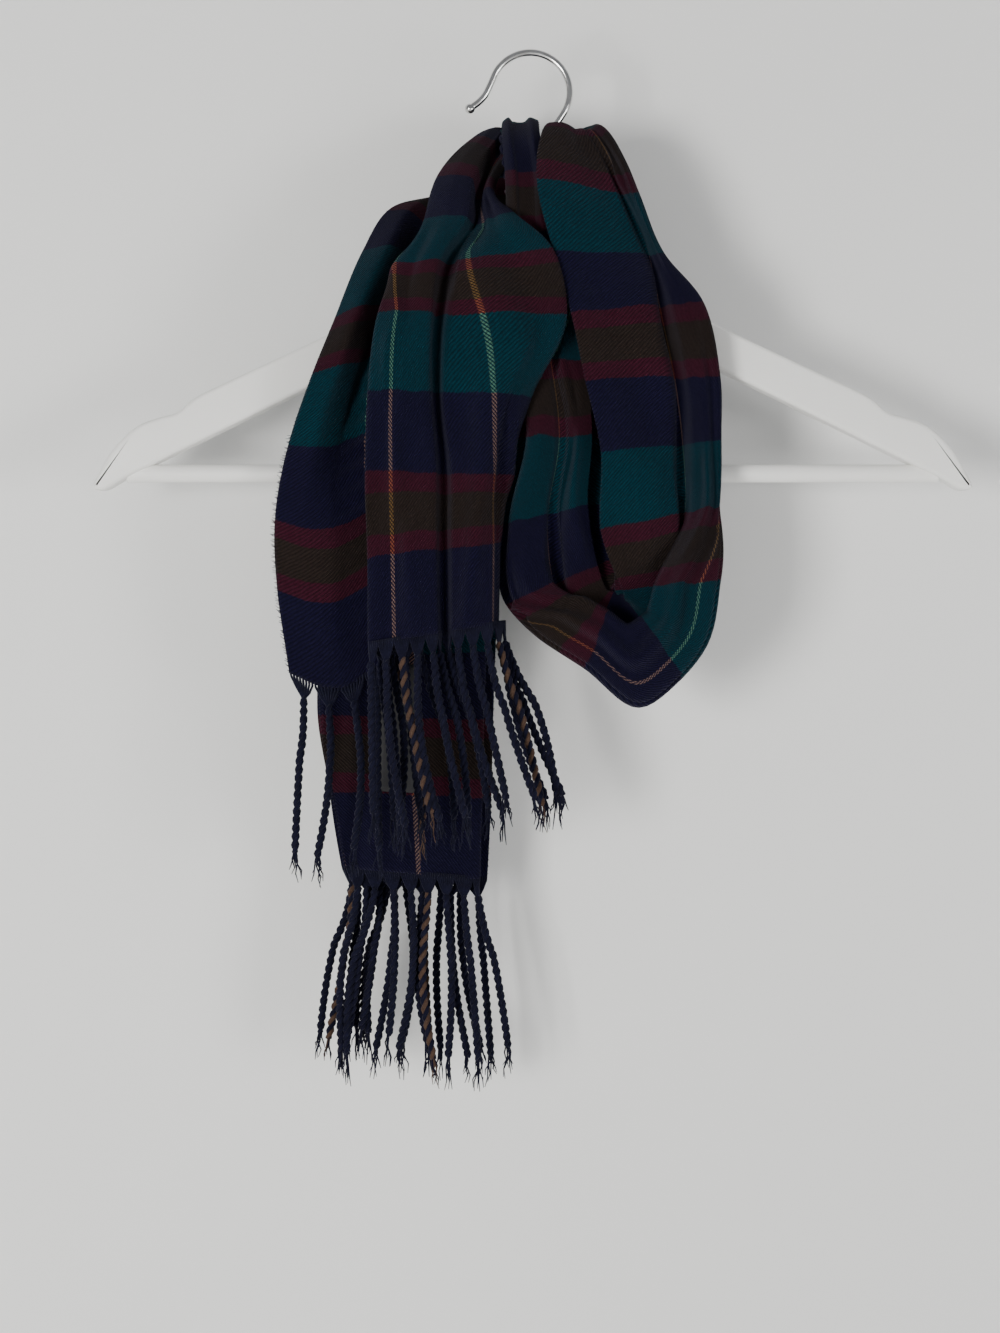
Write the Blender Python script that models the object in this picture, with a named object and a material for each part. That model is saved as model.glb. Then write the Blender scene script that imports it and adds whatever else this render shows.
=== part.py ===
"""Plaid scarf wound over the neck of a white wooden clothes hanger, with twisted fringe at both ends.

Metres, +Z up, +X to the right, and the front faces -Y. The origin is where a rail bears, inside the top
of the hook. The tables are in millimetres: x to the right, drop below the origin, front towards -Y.
"""
import math
from collections import namedtuple

import bmesh
import bpy
import numpy as np

MM = 0.001

# Cloth
WALL = 1.3                 # thickness of the woven wall
SEAM = 0.5                 # space left between neighbouring pieces
ROW_STEP = 12.5            # length of one facet along the cloth
SLOPE_STEP = 1.0           # how far along the cloth its direction is read
HEM_BAND = 2.0             # height of the strip that the fringe grows from

# Fringe
TASSELS = 24               # at each end
TASSEL_RADIUS = 1.6
TASSEL_LENGTH = 95.0
TASSEL_ROOT = 1.2          # how far a tassel starts inside the strip
TASSEL_SIDES = 4
TASSEL_STATIONS = (0.0, 0.08, 0.35, 0.7, 1.0)
TASSEL_TAPER = (0.7, 1.0, 1.0, 0.95, 0.6)

# Label, a plain patch on the rear tail
LABEL_LEFT = -77.5
LABEL_RIGHT = -57.5
LABEL_START = 1450.0       # lengths of cloth from the front hem
LABEL_END = 1521.0
LABEL_THICK = 0.8

# Hanger
HANGER_CENTRE = 1.3
ARM_GAP = 0.3              # between the two arms, and between hanger pieces
ARM_THICK = 13.0
ARM_EDGE_ROUND = 2.0
ROUND_STEPS = ((1.0, 1.0), (0.3, 0.7), (0.0, 0.0))   # shares of the rounding: inwards, and outwards
BAR_RADIUS = 4.6
BAR_DROP = 214.0
BAR_HALF = 208.0
BAR_SIDES = 24
WIRE_RADIUS = 1.75
WIRE_SIDES = 10
HOOK_RADIUS = 20.25        # to the middle of the wire
HOOK_CENTRE_DROP = 18.5
HOOK_STEP = 10             # degrees
STEM_FOOT = 106.0
BALL_RADIUS = 2.6

Pleats = namedtuple("Pleats", "lip floor step deep turned tuck pleat under layer peek hang curl trough")
Section = namedtuple("Section", "cloth inner outer edge lean pleats")

# How the cloth is pleated across. Shares run from the inner selvage (0) to the outer fold (1):
# lip, floor and step are the near side, bottom and far side of the valley, tuck and pleat are where the
# two margins folded behind turn back, and peek is how far the fold behind reaches out. Turned is 1 where
# the valley lies over. The rest are millimetres: deep is the valley's depth, under is how far the first
# folded margin lies below the face, layer is the room between layers, hang is how far the outer selvage
# stands below the last layer, curl turns the inner selvage back, and trough is a hollow by the outer one.
#                  lip floor  step deep turned tuck pleat under layer peek hang curl trough
TAIL_LOW = Pleats(0.42, 0.46, 0.50, 8.0, 0.0, 0.62, 0.80, 4.5, 3.6, 0.96, 0.0, 8.0, 0.0)
TAIL_MID = Pleats(0.57, 0.60, 0.63, 8.0, 0.0, 0.72, 0.84, 4.5, 3.6, 0.97, 0.0, 7.0, 6.0)
TAIL_WIDE = Pleats(0.66, 0.69, 0.72, 12.0, 0.0, 0.80, 0.86, 4.2, 3.4, 0.98, 0.0, 2.0, 9.0)
TAIL_HIGH = Pleats(0.40, 0.45, 0.50, 5.0, 0.0, 0.64, 0.70, 8.0, 3.2, 0.98, 0.0, 0.0, 5.0)
TAIL_TOP = Pleats(0.20, 0.27, 0.34, 5.0, 0.0, 0.56, 0.60, 12.0, 3.0, 0.98, 0.0, 3.0, 3.0)
NECK = Pleats(0.28, 0.35, 0.42, 1.0, 0.0, 0.48, 0.50, 11.0, 2.8, 1.0, 2.0, 0.0, 0.0)
NECK_END = Pleats(0.40, 0.48, 0.56, 1.0, 0.0, 0.34, 0.36, 9.0, 2.8, 1.0, 1.0, 0.0, 0.0)
FALL_TOP = Pleats(0.60, 0.67, 0.74, 1.0, 0.0, 0.26, 0.27, 3.2, 2.8, 1.0, 1.0, 0.0, 0.0)
FALL_BEND = Pleats(0.72, 0.77, 0.83, 1.0, 0.0, 0.21, 0.21, 3.2, 2.8, 1.0, 0.0, 0.0, 0.0)
FALL_HIGH = Pleats(0.79, 0.84, 0.89, 1.0, 0.0, 0.17, 0.17, 4.0, 3.0, 0.98, 0.0, 0.0, 0.0)
FALL_MID = Pleats(0.60, 0.70, 0.80, 6.0, 0.0, 0.12, 0.12, 4.0, 3.1, 0.98, 0.0, 1.0, 0.0)
FALL_LOW = Pleats(0.64, 0.69, 0.73, 5.0, 0.1, 0.16, 0.79, 6.5, 3.7, 1.0, 0.0, 1.0, 0.0)
TURN = Pleats(0.56, 0.64, 0.34, 0.0, 1.0, 0.16, 0.76, 5.0, 4.2, 1.04, 0.0, 0.0, 0.0)
TURN_END = Pleats(0.54, 0.62, 0.34, 0.0, 1.0, 0.04, 0.74, 5.0, 4.2, 1.04, 0.0, 0.0, 0.0)
RISE_LOW = Pleats(0.40, 0.47, 0.54, 2.0, 0.1, -0.16, 0.66, 4.6, 3.2, 1.03, 0.0, 0.0, 0.0)
RISE = Pleats(0.36, 0.46, 0.58, 1.6, 0.0, -0.20, 0.12, 4.2, 3.0, 1.0, 0.0, 0.0, 0.0)
RISE_HIGH = Pleats(0.36, 0.46, 0.58, 1.6, 0.0, 0.0, 0.12, 4.2, 3.0, 1.0, 0.0, 0.0, 0.0)
CROSS = Pleats(0.34, 0.50, 0.66, 0.4, 0.0, 0.14, 0.14, 3.6, 3.0, 1.0, 0.0, 0.0, 0.0)
CROSS_TOP = Pleats(0.34, 0.50, 0.66, 0.4, 0.0, 0.14, 0.14, 2.5, 2.4, 1.0, 0.0, 0.0, 0.0)
REAR_TOP = Pleats(0.40, 0.50, 0.60, 0.6, 0.0, 0.12, 0.38, 3.6, 3.2, 0.99, 0.0, 0.0, 0.0)
REAR = Pleats(0.41, 0.49, 0.57, 0.6, 0.0, 0.06, 0.66, 3.6, 3.2, 0.98, 0.0, 0.0, 0.0)

# Each row is one section across the cloth: length of cloth from the front hem, then three points as
# (x, drop, front): the inner selvage, the outer fold and the outer selvage, which lies under the layers
# where it is None. Lean turns the side on which the face looks from the front (0) over the top (90) to
# the back (180).
TAIL_A = (
    Section(0, (-8, 290, 34), (-80, 302, 40), (-120, 325, 16), 0, TAIL_LOW),
    Section(42, (-8, 251, 35), (-81, 259, 41), (-128, 282, 17), 0, TAIL_LOW),
    Section(82, (-7, 217, 36), (-82, 217, 42), (-129, 245, 19), 0, TAIL_LOW),
    Section(122, (2, 178, 36), (-80, 177, 42), (-122, 205, 20), 0, TAIL_MID),
    Section(162, (18, 137, 35), (-75, 137, 41), (-108, 167, 20), 0, TAIL_WIDE),
    Section(202, (11, 104, 32), (-66, 113, 38), (-98, 138, 17), 5, TAIL_WIDE),
    Section(242, (-8, 86, 26), (-53, 90, 31), (-83, 107, 9), 18, TAIL_HIGH),
    Section(282, (-18, 71, 12), (-47, 67, 19), (-64, 88, 2), 42, TAIL_TOP),
)
NECK_ROWS = (
    Section(318, (-10, 53, -3), (-31, 46, -1), (-44, 68, -14), 68, NECK),
    Section(342, (-6, 49, -8), (-20, 43, -22), None, 90, NECK),
    Section(366, (3, 47, -8), (4, 42, -31), None, 90, NECK),
    Section(388, (12, 44, -5), (32, 40, -17), None, 90, NECK_END),
)
LOOP_RIGHT = (
    Section(408, (10, 42, 7), (42, 45, 4), None, 62, FALL_TOP),
    Section(424, (6, 52, 17), (50, 58, 15), None, 32, FALL_BEND),
    Section(442, (4, 68, 23), (58, 73, 20), None, 8, FALL_HIGH),
    Section(482, (11, 104, 28), (71, 103, 22), None, 0, FALL_HIGH),
    Section(522, (20, 136, 32), (86, 130, 26), None, 0, FALL_MID),
    Section(562, (27, 169, 31), (94, 167, 24), None, 0, FALL_MID),
    Section(602, (35, 205, 31), (95, 199, 25), None, 0, FALL_MID),
    Section(642, (35, 244, 29), (95, 232, 28), None, 0, FALL_LOW),
)
LOOP_BOTTOM = (
    Section(682, (46, 274, 22), (92, 270, 38), None, 0, TURN),
    Section(706, (44, 284, 19), (84, 303, 39), None, 0, TURN),
    Section(726, (40, 287, 18), (72, 318, 39), None, 0, TURN),
    Section(744, (36, 288, 17), (54, 327, 38), None, 0, TURN),
    Section(762, (33, 287, 16), (30, 314, 36), None, 0, TURN),
    Section(782, (31, 285, 16), (6, 299, 30), None, 0, TURN_END),
)
LOOP_LEFT = (
    Section(802, (30, 270, 17), (-8, 280, 23), None, 0, RISE_LOW),
    Section(842, (26, 232, 19), (-10, 241, 20), None, 0, RISE_LOW),
    Section(882, (31, 196, 20), (-1, 197, 21), None, 0, RISE),
    Section(922, (24, 158, 20), (-8, 158, 21), None, 0, RISE_HIGH),
)
CROSSING = (
    Section(962, (9, 124, 21), (-12, 124, 21), None, 0, CROSS),
    Section(1002, (5, 94, 21), (-10, 94, 21), None, 0, CROSS),
    Section(1042, (4, 62, 17), (-11, 62, 17), None, 12, CROSS),
    Section(1066, (1, 42, 11), (-14, 42, 11), None, 40, CROSS_TOP),
    Section(1086, (3, 30, -9), (-13, 30, -9), None, 76, CROSS_TOP),
    Section(1106, (2, 31, -38), (-15, 31, -38), None, 112, CROSS_TOP),
    Section(1126, (0, 54, -53), (-19, 54, -53), None, 156, CROSS_TOP),
)
TAIL_B = (
    Section(1162, (-2, 87, -55), (-32, 89, -55), None, 178, REAR_TOP),
    Section(1222, (-5, 134, -44), (-58, 136, -44), None, 184, REAR),
    Section(1322, (-11, 210, -32), (-88, 214, -32), None, 184, REAR),
    Section(1422, (-17, 288, -26), (-106, 288, -26), None, 182, REAR),
    Section(1482, (-19, 341, -24), (-110, 338, -24), None, 180, REAR),
    Section(1522, (-20, 381, -23), (-104, 377, -23), None, 180, REAR),
    Section(1564, (-22, 423, -22), (-97, 417, -22), None, 180, REAR),
)
# One arm of the hanger from its middle outwards, as (x from the middle, drop): the upper edge with its
# strap notch, the rounded tip and the lower edge.
ARM_OUTLINE = (
    (ARM_GAP / 2, 93.6),
    (97, 140),
    (173, 175.5),
    (181, 183.5),
    (190, 185.5),
    (202, 189.5),
    (215, 202),
    (223, 217),
    (225.5, 222),
    (218, 223),
    (209.6, 217.5),
    (94, 160.7),
    (ARM_GAP / 2, 114),
)
# The hook's wire past its round top: down the right side to the stem, and the short left limb.
STEM_LINE = ((13.3, 34.8), (9.9, 39.6), (6.5, 44.4), (3.8, 48.8), (2.0, 53.5), (HANGER_CENTRE, 60))
LIMB_LINE = ((-30.8, 27.0), (-26.8, 24.0), (-23.4, 20.5), (-21.2, 16.5))

# Where each fringe hangs: x of the outermost tips, and how far the tips spread to the front and back.
FringeFall = namedtuple("FringeFall", "left right spread")
FRONT_FALL = FringeFall(-128.0, 12.0, 1.15)
REAR_FALL = FringeFall(-112.0, -10.0, 1.15)

STRETCHES = (
    ("tail_a", TAIL_A),
    ("neck", NECK_ROWS),
    ("loop_right", LOOP_RIGHT),
    ("loop_bottom", LOOP_BOTTOM),
    ("loop_left", LOOP_LEFT),
    ("crossing", CROSSING),
    ("tail_b", TAIL_B),
)
# Facets between one fold point and the next, from the outer selvage to the inner one.
FOLD_PULL = 0.55
FACETS = (1, 1, 2, 1, 1, 1, 1, 1, 1, 1, 1, 1, 1, 1, 1, 1, 1, 1, 1)


def row_points(row):
    """The fold points of one section as (x, drop, front), from the outer selvage to the inner one."""
    pleats = row.pleats
    inner, outer = np.array(row.inner, float), np.array(row.outer, float)
    lean = math.radians(row.lean)
    out = np.array((0.0, -math.sin(lean), math.cos(lean)))
    level = float(np.dot(outer - inner, out))
    across = outer - inner - level * out
    width = float(np.linalg.norm(across))

    def at(share, height):
        return inner + share * across + height * out

    slope = min(level, 0.0)
    lowest = min(slope * pleats.floor - pleats.deep, level) - pleats.layer
    first = level - pleats.under
    if pleats.pleat < pleats.step + 0.03:
        first = min(first, lowest)
    second = first - 2 * pleats.layer
    if pleats.tuck < pleats.step + 0.03:
        second = min(second, lowest)
    last = second - pleats.layer
    rim = (1.0 - pleats.turned) * pleats.layer / width
    rise = pleats.turned * pleats.layer
    bank = (1.0 - pleats.turned) * min(1.5, 0.3 * pleats.deep)
    tuck = at(pleats.tuck, last)
    edge = at(0.97, last - pleats.hang) if row.edge is None else np.array(row.edge, float)
    lip = edge + 0.42 * (tuck - edge)
    trough = edge + 0.22 * (tuck - edge) - pleats.trough * out
    return np.array([
        edge,
        trough,
        lip,
        tuck,
        at(pleats.tuck, second),
        at(pleats.peek, second),
        at(pleats.peek, first - pleats.layer),
        at(pleats.pleat, first - pleats.layer),
        at(pleats.pleat, first),
        at(1.0, first),
        at(1.0, level),
        at(0.5 + 0.5 * pleats.step, level + 2.0),
        at(pleats.step + rim / 2, level),
        at(pleats.step, level - rise - bank),
        at(pleats.floor + rim / 2, slope * pleats.floor + rise - pleats.deep),
        at(pleats.floor - rim / 2, slope * pleats.floor - pleats.deep),
        at(pleats.lip, slope * pleats.lip),
        at(0.6 * pleats.lip, 0.6 * slope * pleats.lip + 1.5),
        at(0.25 * pleats.lip, 0.5 - 0.1 * pleats.curl),
        at(0.0, -pleats.curl),
    ])


def smooth(points, knots, at, pull=1.0):
    """A smooth curve through the points, read at the given knots; less pull gives tighter corners."""
    points = np.asarray(points, float)
    knots = np.asarray(knots, float)
    slopes = np.gradient(points, knots, axis=0, edge_order=1) * pull
    at = np.clip(np.asarray(at, float), knots[0], knots[-1])
    index = np.clip(np.searchsorted(knots, at, side="right") - 1, 0, len(knots) - 2)
    length = knots[index + 1] - knots[index]
    t = (at - knots[index]) / length
    shape = (-1,) + (1,) * (points.ndim - 1)
    t = t.reshape(shape)
    length = length.reshape(shape)
    start, end = points[index], points[index + 1]
    return (
        (2 * t**3 - 3 * t**2 + 1) * start
        + (t**3 - 2 * t**2 + t) * length * slopes[index]
        + (3 * t**2 - 2 * t**3) * end
        + (t**3 - t**2) * length * slopes[index + 1]
    )


def across_curve(points):
    """One section as a smooth curve, with the facets that FACETS gives."""
    steps = np.linalg.norm(np.diff(points, axis=0), axis=1)
    knots = np.concatenate([[0.0], np.cumsum(np.sqrt(np.maximum(steps, 0.5)))])
    at = [knots[0]]
    for k, facets in enumerate(FACETS):
        at.extend(knots[k] + (knots[k + 1] - knots[k]) * (n + 1) / facets for n in range(facets))
    return smooth(points, knots, at, FOLD_PULL)


def to_world(points):
    """(x, drop, front) in millimetres to metres."""
    points = np.asarray(points, float)
    return np.stack([points[..., 0], -points[..., 2], -points[..., 1]], axis=-1) * MM


def build_path():
    """The whole scarf as one grid of sections, with where each stretch starts and ends along it."""
    rows = [row for _, table in STRETCHES for row in table]
    curves = np.array([across_curve(row_points(row)) for row in rows])
    middles = curves.mean(axis=1)
    knots = np.concatenate([[0.0], np.cumsum(np.linalg.norm(np.diff(middles, axis=0), axis=1))])
    limits = {}
    first = 0
    for name, table in STRETCHES:
        last = first + len(table)
        start = 0.0 if first == 0 else (knots[first - 1] + knots[first]) / 2
        end = knots[-1] if last == len(rows) else (knots[last - 1] + knots[last]) / 2
        limits[name] = (start, end)
        first = last
    return curves, knots, limits


def wall_mesh(grid, along, thick):
    """A closed wall of even thickness on a grid of points (rows, columns, 3), as vertices and quads."""
    sides = np.diff(grid, axis=1)
    sides = np.cross(along[:, :-1] + along[:, 1:], sides)
    sides /= np.maximum(np.linalg.norm(sides, axis=2, keepdims=True), 1e-12)
    normal = np.concatenate([sides[:, :1], sides[:, :-1] + sides[:, 1:], sides[:, -1:]], axis=1)
    normal /= np.maximum(np.linalg.norm(normal, axis=2, keepdims=True), 1e-12)
    rows, columns = grid.shape[:2]
    face = grid + normal * (thick / 2)
    rear = grid - normal * (thick / 2)
    vertices = np.concatenate([face.reshape(-1, 3), rear.reshape(-1, 3)])
    count = rows * columns
    quads = []
    for i in range(rows - 1):
        for j in range(columns - 1):
            a = i * columns + j
            b, c, d = a + 1, a + columns + 1, a + columns
            quads.append((a, b, c, d))
            quads.append((count + a, count + d, count + c, count + b))
    rim = [i * columns for i in range(rows)]
    rim += [(rows - 1) * columns + j for j in range(1, columns)]
    rim += [i * columns + columns - 1 for i in range(rows - 2, -1, -1)]
    rim += [j for j in range(columns - 2, 0, -1)]
    for a, b in zip(rim, rim[1:] + rim[:1]):
        quads.append((a, b, count + b, count + a))
    return vertices, quads


def add_material(item, colour, roughness, metallic=0.0):
    material = bpy.data.materials.new(item.name)
    material.use_nodes = True
    shader = material.node_tree.nodes["Principled BSDF"]
    shader.inputs["Base Color"].default_value = (*colour, 1.0)
    shader.inputs["Roughness"].default_value = roughness
    shader.inputs["Metallic"].default_value = metallic
    item.data.materials.append(material)


def add_object(name, vertices, faces, colour, roughness, metallic=0.0):
    """A mesh object with outward faces, shaded smooth but for its sharp edges."""
    mesh = bpy.data.meshes.new(name)
    mesh.from_pydata([tuple(v) for v in vertices], [], faces)
    work = bmesh.new()
    work.from_mesh(mesh)
    bmesh.ops.recalc_face_normals(work, faces=work.faces)
    work.to_mesh(mesh)
    work.free()
    mesh.shade_smooth()
    mesh.set_sharp_from_angle(angle=math.radians(40))
    item = bpy.data.objects.new(name, mesh)
    bpy.context.scene.collection.objects.link(item)
    add_material(item, colour, roughness, metallic)
    return item


NAVY = (0.018, 0.018, 0.045)
TEAL = (0.006, 0.105, 0.125)
MAROON = (0.08, 0.014, 0.028)
BLACK = (0.01, 0.01, 0.012)
WHITE = (0.82, 0.81, 0.79)
CHROME = (0.75, 0.75, 0.76)
STRETCH_COLOURS = {"loop_right": TEAL, "loop_left": TEAL, "crossing": MAROON}


def read_grid(curves, knots, at):
    """The cloth's sections at the given knots in metres, and the unit direction along it at each point."""
    grid = to_world(smooth(curves, knots, at))
    ahead = to_world(smooth(curves, knots, at + SLOPE_STEP))
    behind = to_world(smooth(curves, knots, at - SLOPE_STEP))
    along = ahead - behind
    along /= np.linalg.norm(along, axis=2, keepdims=True)
    return grid, along


def seam_shift(row, along):
    """Half a seam for each point of an end row, longer where the cloth runs aslant."""
    across = np.gradient(row, axis=0)
    across /= np.linalg.norm(across, axis=1, keepdims=True)
    square = np.linalg.norm(np.cross(across, along), axis=1, keepdims=True)
    return along * SEAM / 2 * MM / np.maximum(square, 0.3)


def add_cloth(name, curves, knots, start, end):
    """One stretch of the scarf, parted by half a seam from its neighbours."""
    count = max(3, round((end - start) / ROW_STEP) + 1)
    grid, along = read_grid(curves, knots, np.linspace(start, end, count))
    if start > knots[0]:
        grid[0] += seam_shift(grid[0], along[0])
    if end < knots[-1]:
        grid[-1] -= seam_shift(grid[-1], along[-1])
    vertices, quads = wall_mesh(grid, along, WALL * MM)
    add_object(name, vertices, quads, STRETCH_COLOURS.get(name, NAVY), 0.9)


def tube_mesh(path, radii, sides):
    """A closed round bar along a path in metres, as vertices and faces."""
    path = np.asarray(path, float)
    slopes = np.gradient(path, axis=0)
    slopes /= np.linalg.norm(slopes, axis=1, keepdims=True)
    side = np.cross(slopes[0], (0.0, 1.0, 0.0))
    if np.linalg.norm(side) < 0.1:
        side = np.cross(slopes[0], (1.0, 0.0, 0.0))
    vertices = []
    for point, slope, radius in zip(path, slopes, radii):
        side = side - np.dot(side, slope) * slope
        side /= np.linalg.norm(side)
        other = np.cross(slope, side)
        for k in range(sides):
            turn = 2 * math.pi * (k + 0.5) / sides
            vertices.append(point + radius * (math.cos(turn) * side + math.sin(turn) * other))
    faces = [tuple(range(sides - 1, -1, -1))]
    for i in range(len(path) - 1):
        for k in range(sides):
            a, b = i * sides + k, i * sides + (k + 1) % sides
            faces.append((a, b, b + sides, a + sides))
    faces.append(tuple((len(path) - 1) * sides + k for k in range(sides)))
    return vertices, faces


def add_cutter(name, vertices, faces, target, operation):
    """A hidden shape that is joined to the target or taken out of it."""
    cutter = add_object(name, vertices, faces, BLACK, 0.9)
    cutter.hide_render = True
    cutter.display_type = "WIRE"
    step = target.modifiers.new(name, "BOOLEAN")
    step.operation = operation
    step.solver = "EXACT"
    step.object = cutter


def tassel_path(root, down, tip_x, tip_front):
    """One tassel from its root in the strip: it leaves along the cloth and then hangs."""
    points = []
    for t in TASSEL_STATIONS:
        swing = t ** 1.3
        front = root[1] + (tip_front - root[1]) * swing
        side = root[0] + (tip_x - root[0]) * swing
        drop = root[2] - TASSEL_LENGTH * MM * t
        points.append(np.array((side, front, drop)) + down * (1.0 - t) * 2.0 * MM)
    points[0] = root
    return points


def add_fringe(name, curves, knots, knot, outward, fall):
    """A narrow strip beside a hem with its row of tassels."""
    grid, along = read_grid(curves, knots, np.array([knot]))
    down = along[0] * outward
    near = grid[0] + down * SEAM * MM
    far = grid[0] + down * (SEAM + HEM_BAND) * MM
    rows = np.stack([near, far]) if outward > 0 else np.stack([far, near])
    vertices, quads = wall_mesh(rows, np.stack([along[0], along[0]]), WALL * MM)
    strip = add_object(name, vertices, quads, NAVY, 0.9)
    reach = np.concatenate([[0.0], np.cumsum(np.linalg.norm(np.diff(far, axis=0), axis=1))])
    at = (np.arange(TASSELS) + 0.5) / TASSELS * reach[-1]
    roots = np.stack([np.interp(at, reach, far[:, k]) for k in range(3)], axis=1)
    slopes = np.stack([np.interp(at, reach, down[:, k]) for k in range(3)], axis=1)
    middle = roots.mean(axis=0)
    order = (roots[:, 0] - roots[:, 0].min()) / (roots[:, 0].max() - roots[:, 0].min())
    all_vertices, all_faces = [], []
    for root, slope, share in zip(roots, slopes, order):
        tip_x = (fall.left + (fall.right - fall.left) * share) * MM
        tip_front = middle[1] + (root[1] - middle[1]) * fall.spread
        path = tassel_path(root - slope * TASSEL_ROOT * MM, slope, tip_x, tip_front)
        radii = [TASSEL_RADIUS * MM * taper for taper in TASSEL_TAPER]
        tube, faces = tube_mesh(path, radii, TASSEL_SIDES)
        all_faces.extend(tuple(k + len(all_vertices) for k in face) for face in faces)
        all_vertices.extend(tube)
    add_cutter(name + "_tassels", all_vertices, all_faces, strip, "UNION")


def add_label(curves, knots):
    """A plain patch on the front layer of the rear tail, made from the cloth's points, moved out."""
    lengths = [row.cloth for _, table in STRETCHES for row in table]
    at = np.interp(np.linspace(LABEL_START, LABEL_END, 6), lengths, knots)
    grid, along = read_grid(curves, knots, at)
    layer = grid[:, :5]
    xs = np.linspace(LABEL_LEFT, LABEL_RIGHT, 4) * MM
    patch = np.array([
        [[np.interp(x, row[:, 0], row[:, k]) for k in range(3)] for x in xs]
        for row in layer
    ])
    patch[..., 1] -= (WALL / 2 + SEAM + LABEL_THICK / 2) * MM
    vertices, quads = wall_mesh(patch, along[:, :4], LABEL_THICK * MM)
    add_object("label", vertices, quads, BLACK, 0.8)


def inset_outline(outline, amount):
    """The outline with every edge but the closing one moved inwards."""
    corners = np.array(outline, float)
    edges = np.roll(corners, -1, axis=0) - corners
    edges /= np.linalg.norm(edges, axis=1, keepdims=True)
    inward = np.stack([-edges[:, 1], edges[:, 0]], axis=1)
    moves = np.full(len(corners), amount)
    moves[-1] = 0.0
    result = []
    for k in range(len(corners)):
        normals = np.array((inward[k - 1], inward[k]))
        shift = np.linalg.solve(normals, (moves[k - 1], moves[k]))
        result.append(corners[k] + shift)
    return np.array(result)


def add_arm(name, side):
    """One arm of the hanger with rounded edges and sockets for the bar and the stem."""
    rings = [
        (ARM_THICK / 2 - ARM_EDGE_ROUND * (1.0 - out), ARM_EDGE_ROUND * inset)
        for inset, out in ROUND_STEPS
    ]
    rings += [(-front, inset) for front, inset in reversed(rings)]
    vertices = []
    for front, inset in rings:
        for x, drop in inset_outline(ARM_OUTLINE, inset):
            vertices.append(to_world((HANGER_CENTRE + side * x, drop, front)))
    count = len(ARM_OUTLINE)
    faces = [tuple(range(count)), tuple(range(len(vertices) - 1, len(vertices) - count - 1, -1))]
    for i in range(len(rings) - 1):
        for k in range(count):
            a, b = i * count + k, i * count + (k + 1) % count
            faces.append((a, a + count, b + count, b))
    arm = add_object(name, vertices, faces, WHITE, 0.45)
    reach = HANGER_CENTRE + side * (BAR_HALF + ARM_GAP)
    bar = to_world([(HANGER_CENTRE + side * 170.0, BAR_DROP, 0.0), (reach, BAR_DROP, 0.0)])
    hollow = tube_mesh(bar, [(BAR_RADIUS + ARM_GAP) * MM] * 2, BAR_SIDES)
    add_cutter(name + "_bar_socket", *hollow, arm, "DIFFERENCE")
    stem = to_world([(HANGER_CENTRE, 80.0, 0.0), (HANGER_CENTRE, STEM_FOOT + ARM_GAP, 0.0)])
    hollow = tube_mesh(stem, [(WIRE_RADIUS + ARM_GAP) * MM] * 2, WIRE_SIDES)
    add_cutter(name + "_stem_socket", *hollow, arm, "DIFFERENCE")


def add_bar():
    ends = [(HANGER_CENTRE - BAR_HALF, BAR_DROP, 0.0), (HANGER_CENTRE + BAR_HALF, BAR_DROP, 0.0)]
    add_object("bar", *tube_mesh(to_world(ends), [BAR_RADIUS * MM] * 2, BAR_SIDES), WHITE, 0.45)


def add_hook():
    """The wire hook: a ball on the short limb, over the round top and down to the stem's foot."""
    limb = np.array(LIMB_LINE[0])
    way = np.array(LIMB_LINE[1]) - limb
    way /= np.linalg.norm(way)
    path, radii = [], []
    for back in (2.5, 1.9, 0.8, -0.4, -1.5):
        path.append(limb - way * back)
        radii.append(max(0.6, math.sqrt(BALL_RADIUS**2 - back**2)))
    for x, drop in LIMB_LINE[1:]:
        path.append((x, drop))
        radii.append(WIRE_RADIUS)
    for turn in range(160, -36, -HOOK_STEP):
        angle = math.radians(turn)
        path.append((HOOK_RADIUS * math.cos(angle), HOOK_CENTRE_DROP - HOOK_RADIUS * math.sin(angle)))
        radii.append(WIRE_RADIUS)
    for x, drop in STEM_LINE + ((HANGER_CENTRE, STEM_FOOT),):
        path.append((x, drop))
        radii.append(WIRE_RADIUS)
    path = to_world([(x, drop, 0.0) for x, drop in path])
    add_object("hook", *tube_mesh(path, [radius * MM for radius in radii], WIRE_SIDES), CHROME, 0.2, 1.0)


def main():
    for item in list(bpy.data.objects):
        bpy.data.objects.remove(item, do_unlink=True)
    curves, knots, limits = build_path()
    for name, _ in STRETCHES:
        add_cloth(name, curves, knots, *limits[name])
    add_fringe("fringe_a", curves, knots, knots[0], -1.0, FRONT_FALL)
    add_fringe("fringe_b", curves, knots, knots[-1], 1.0, REAR_FALL)
    add_label(curves, knots)
    add_arm("arm_left", -1)
    add_arm("arm_right", 1)
    add_bar()
    add_hook()


main()
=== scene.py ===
"""Plaid scarf wound over the neck of a white wooden clothes hanger, seen from the front.

The tables are in millimetres: x to the right, drop below the inside top of the hook, and front towards
the viewer (-Y). The cloth is laid out by two lengths: from its front hem, and from one selvage.
"""
import math
import random
from collections import namedtuple

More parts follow.
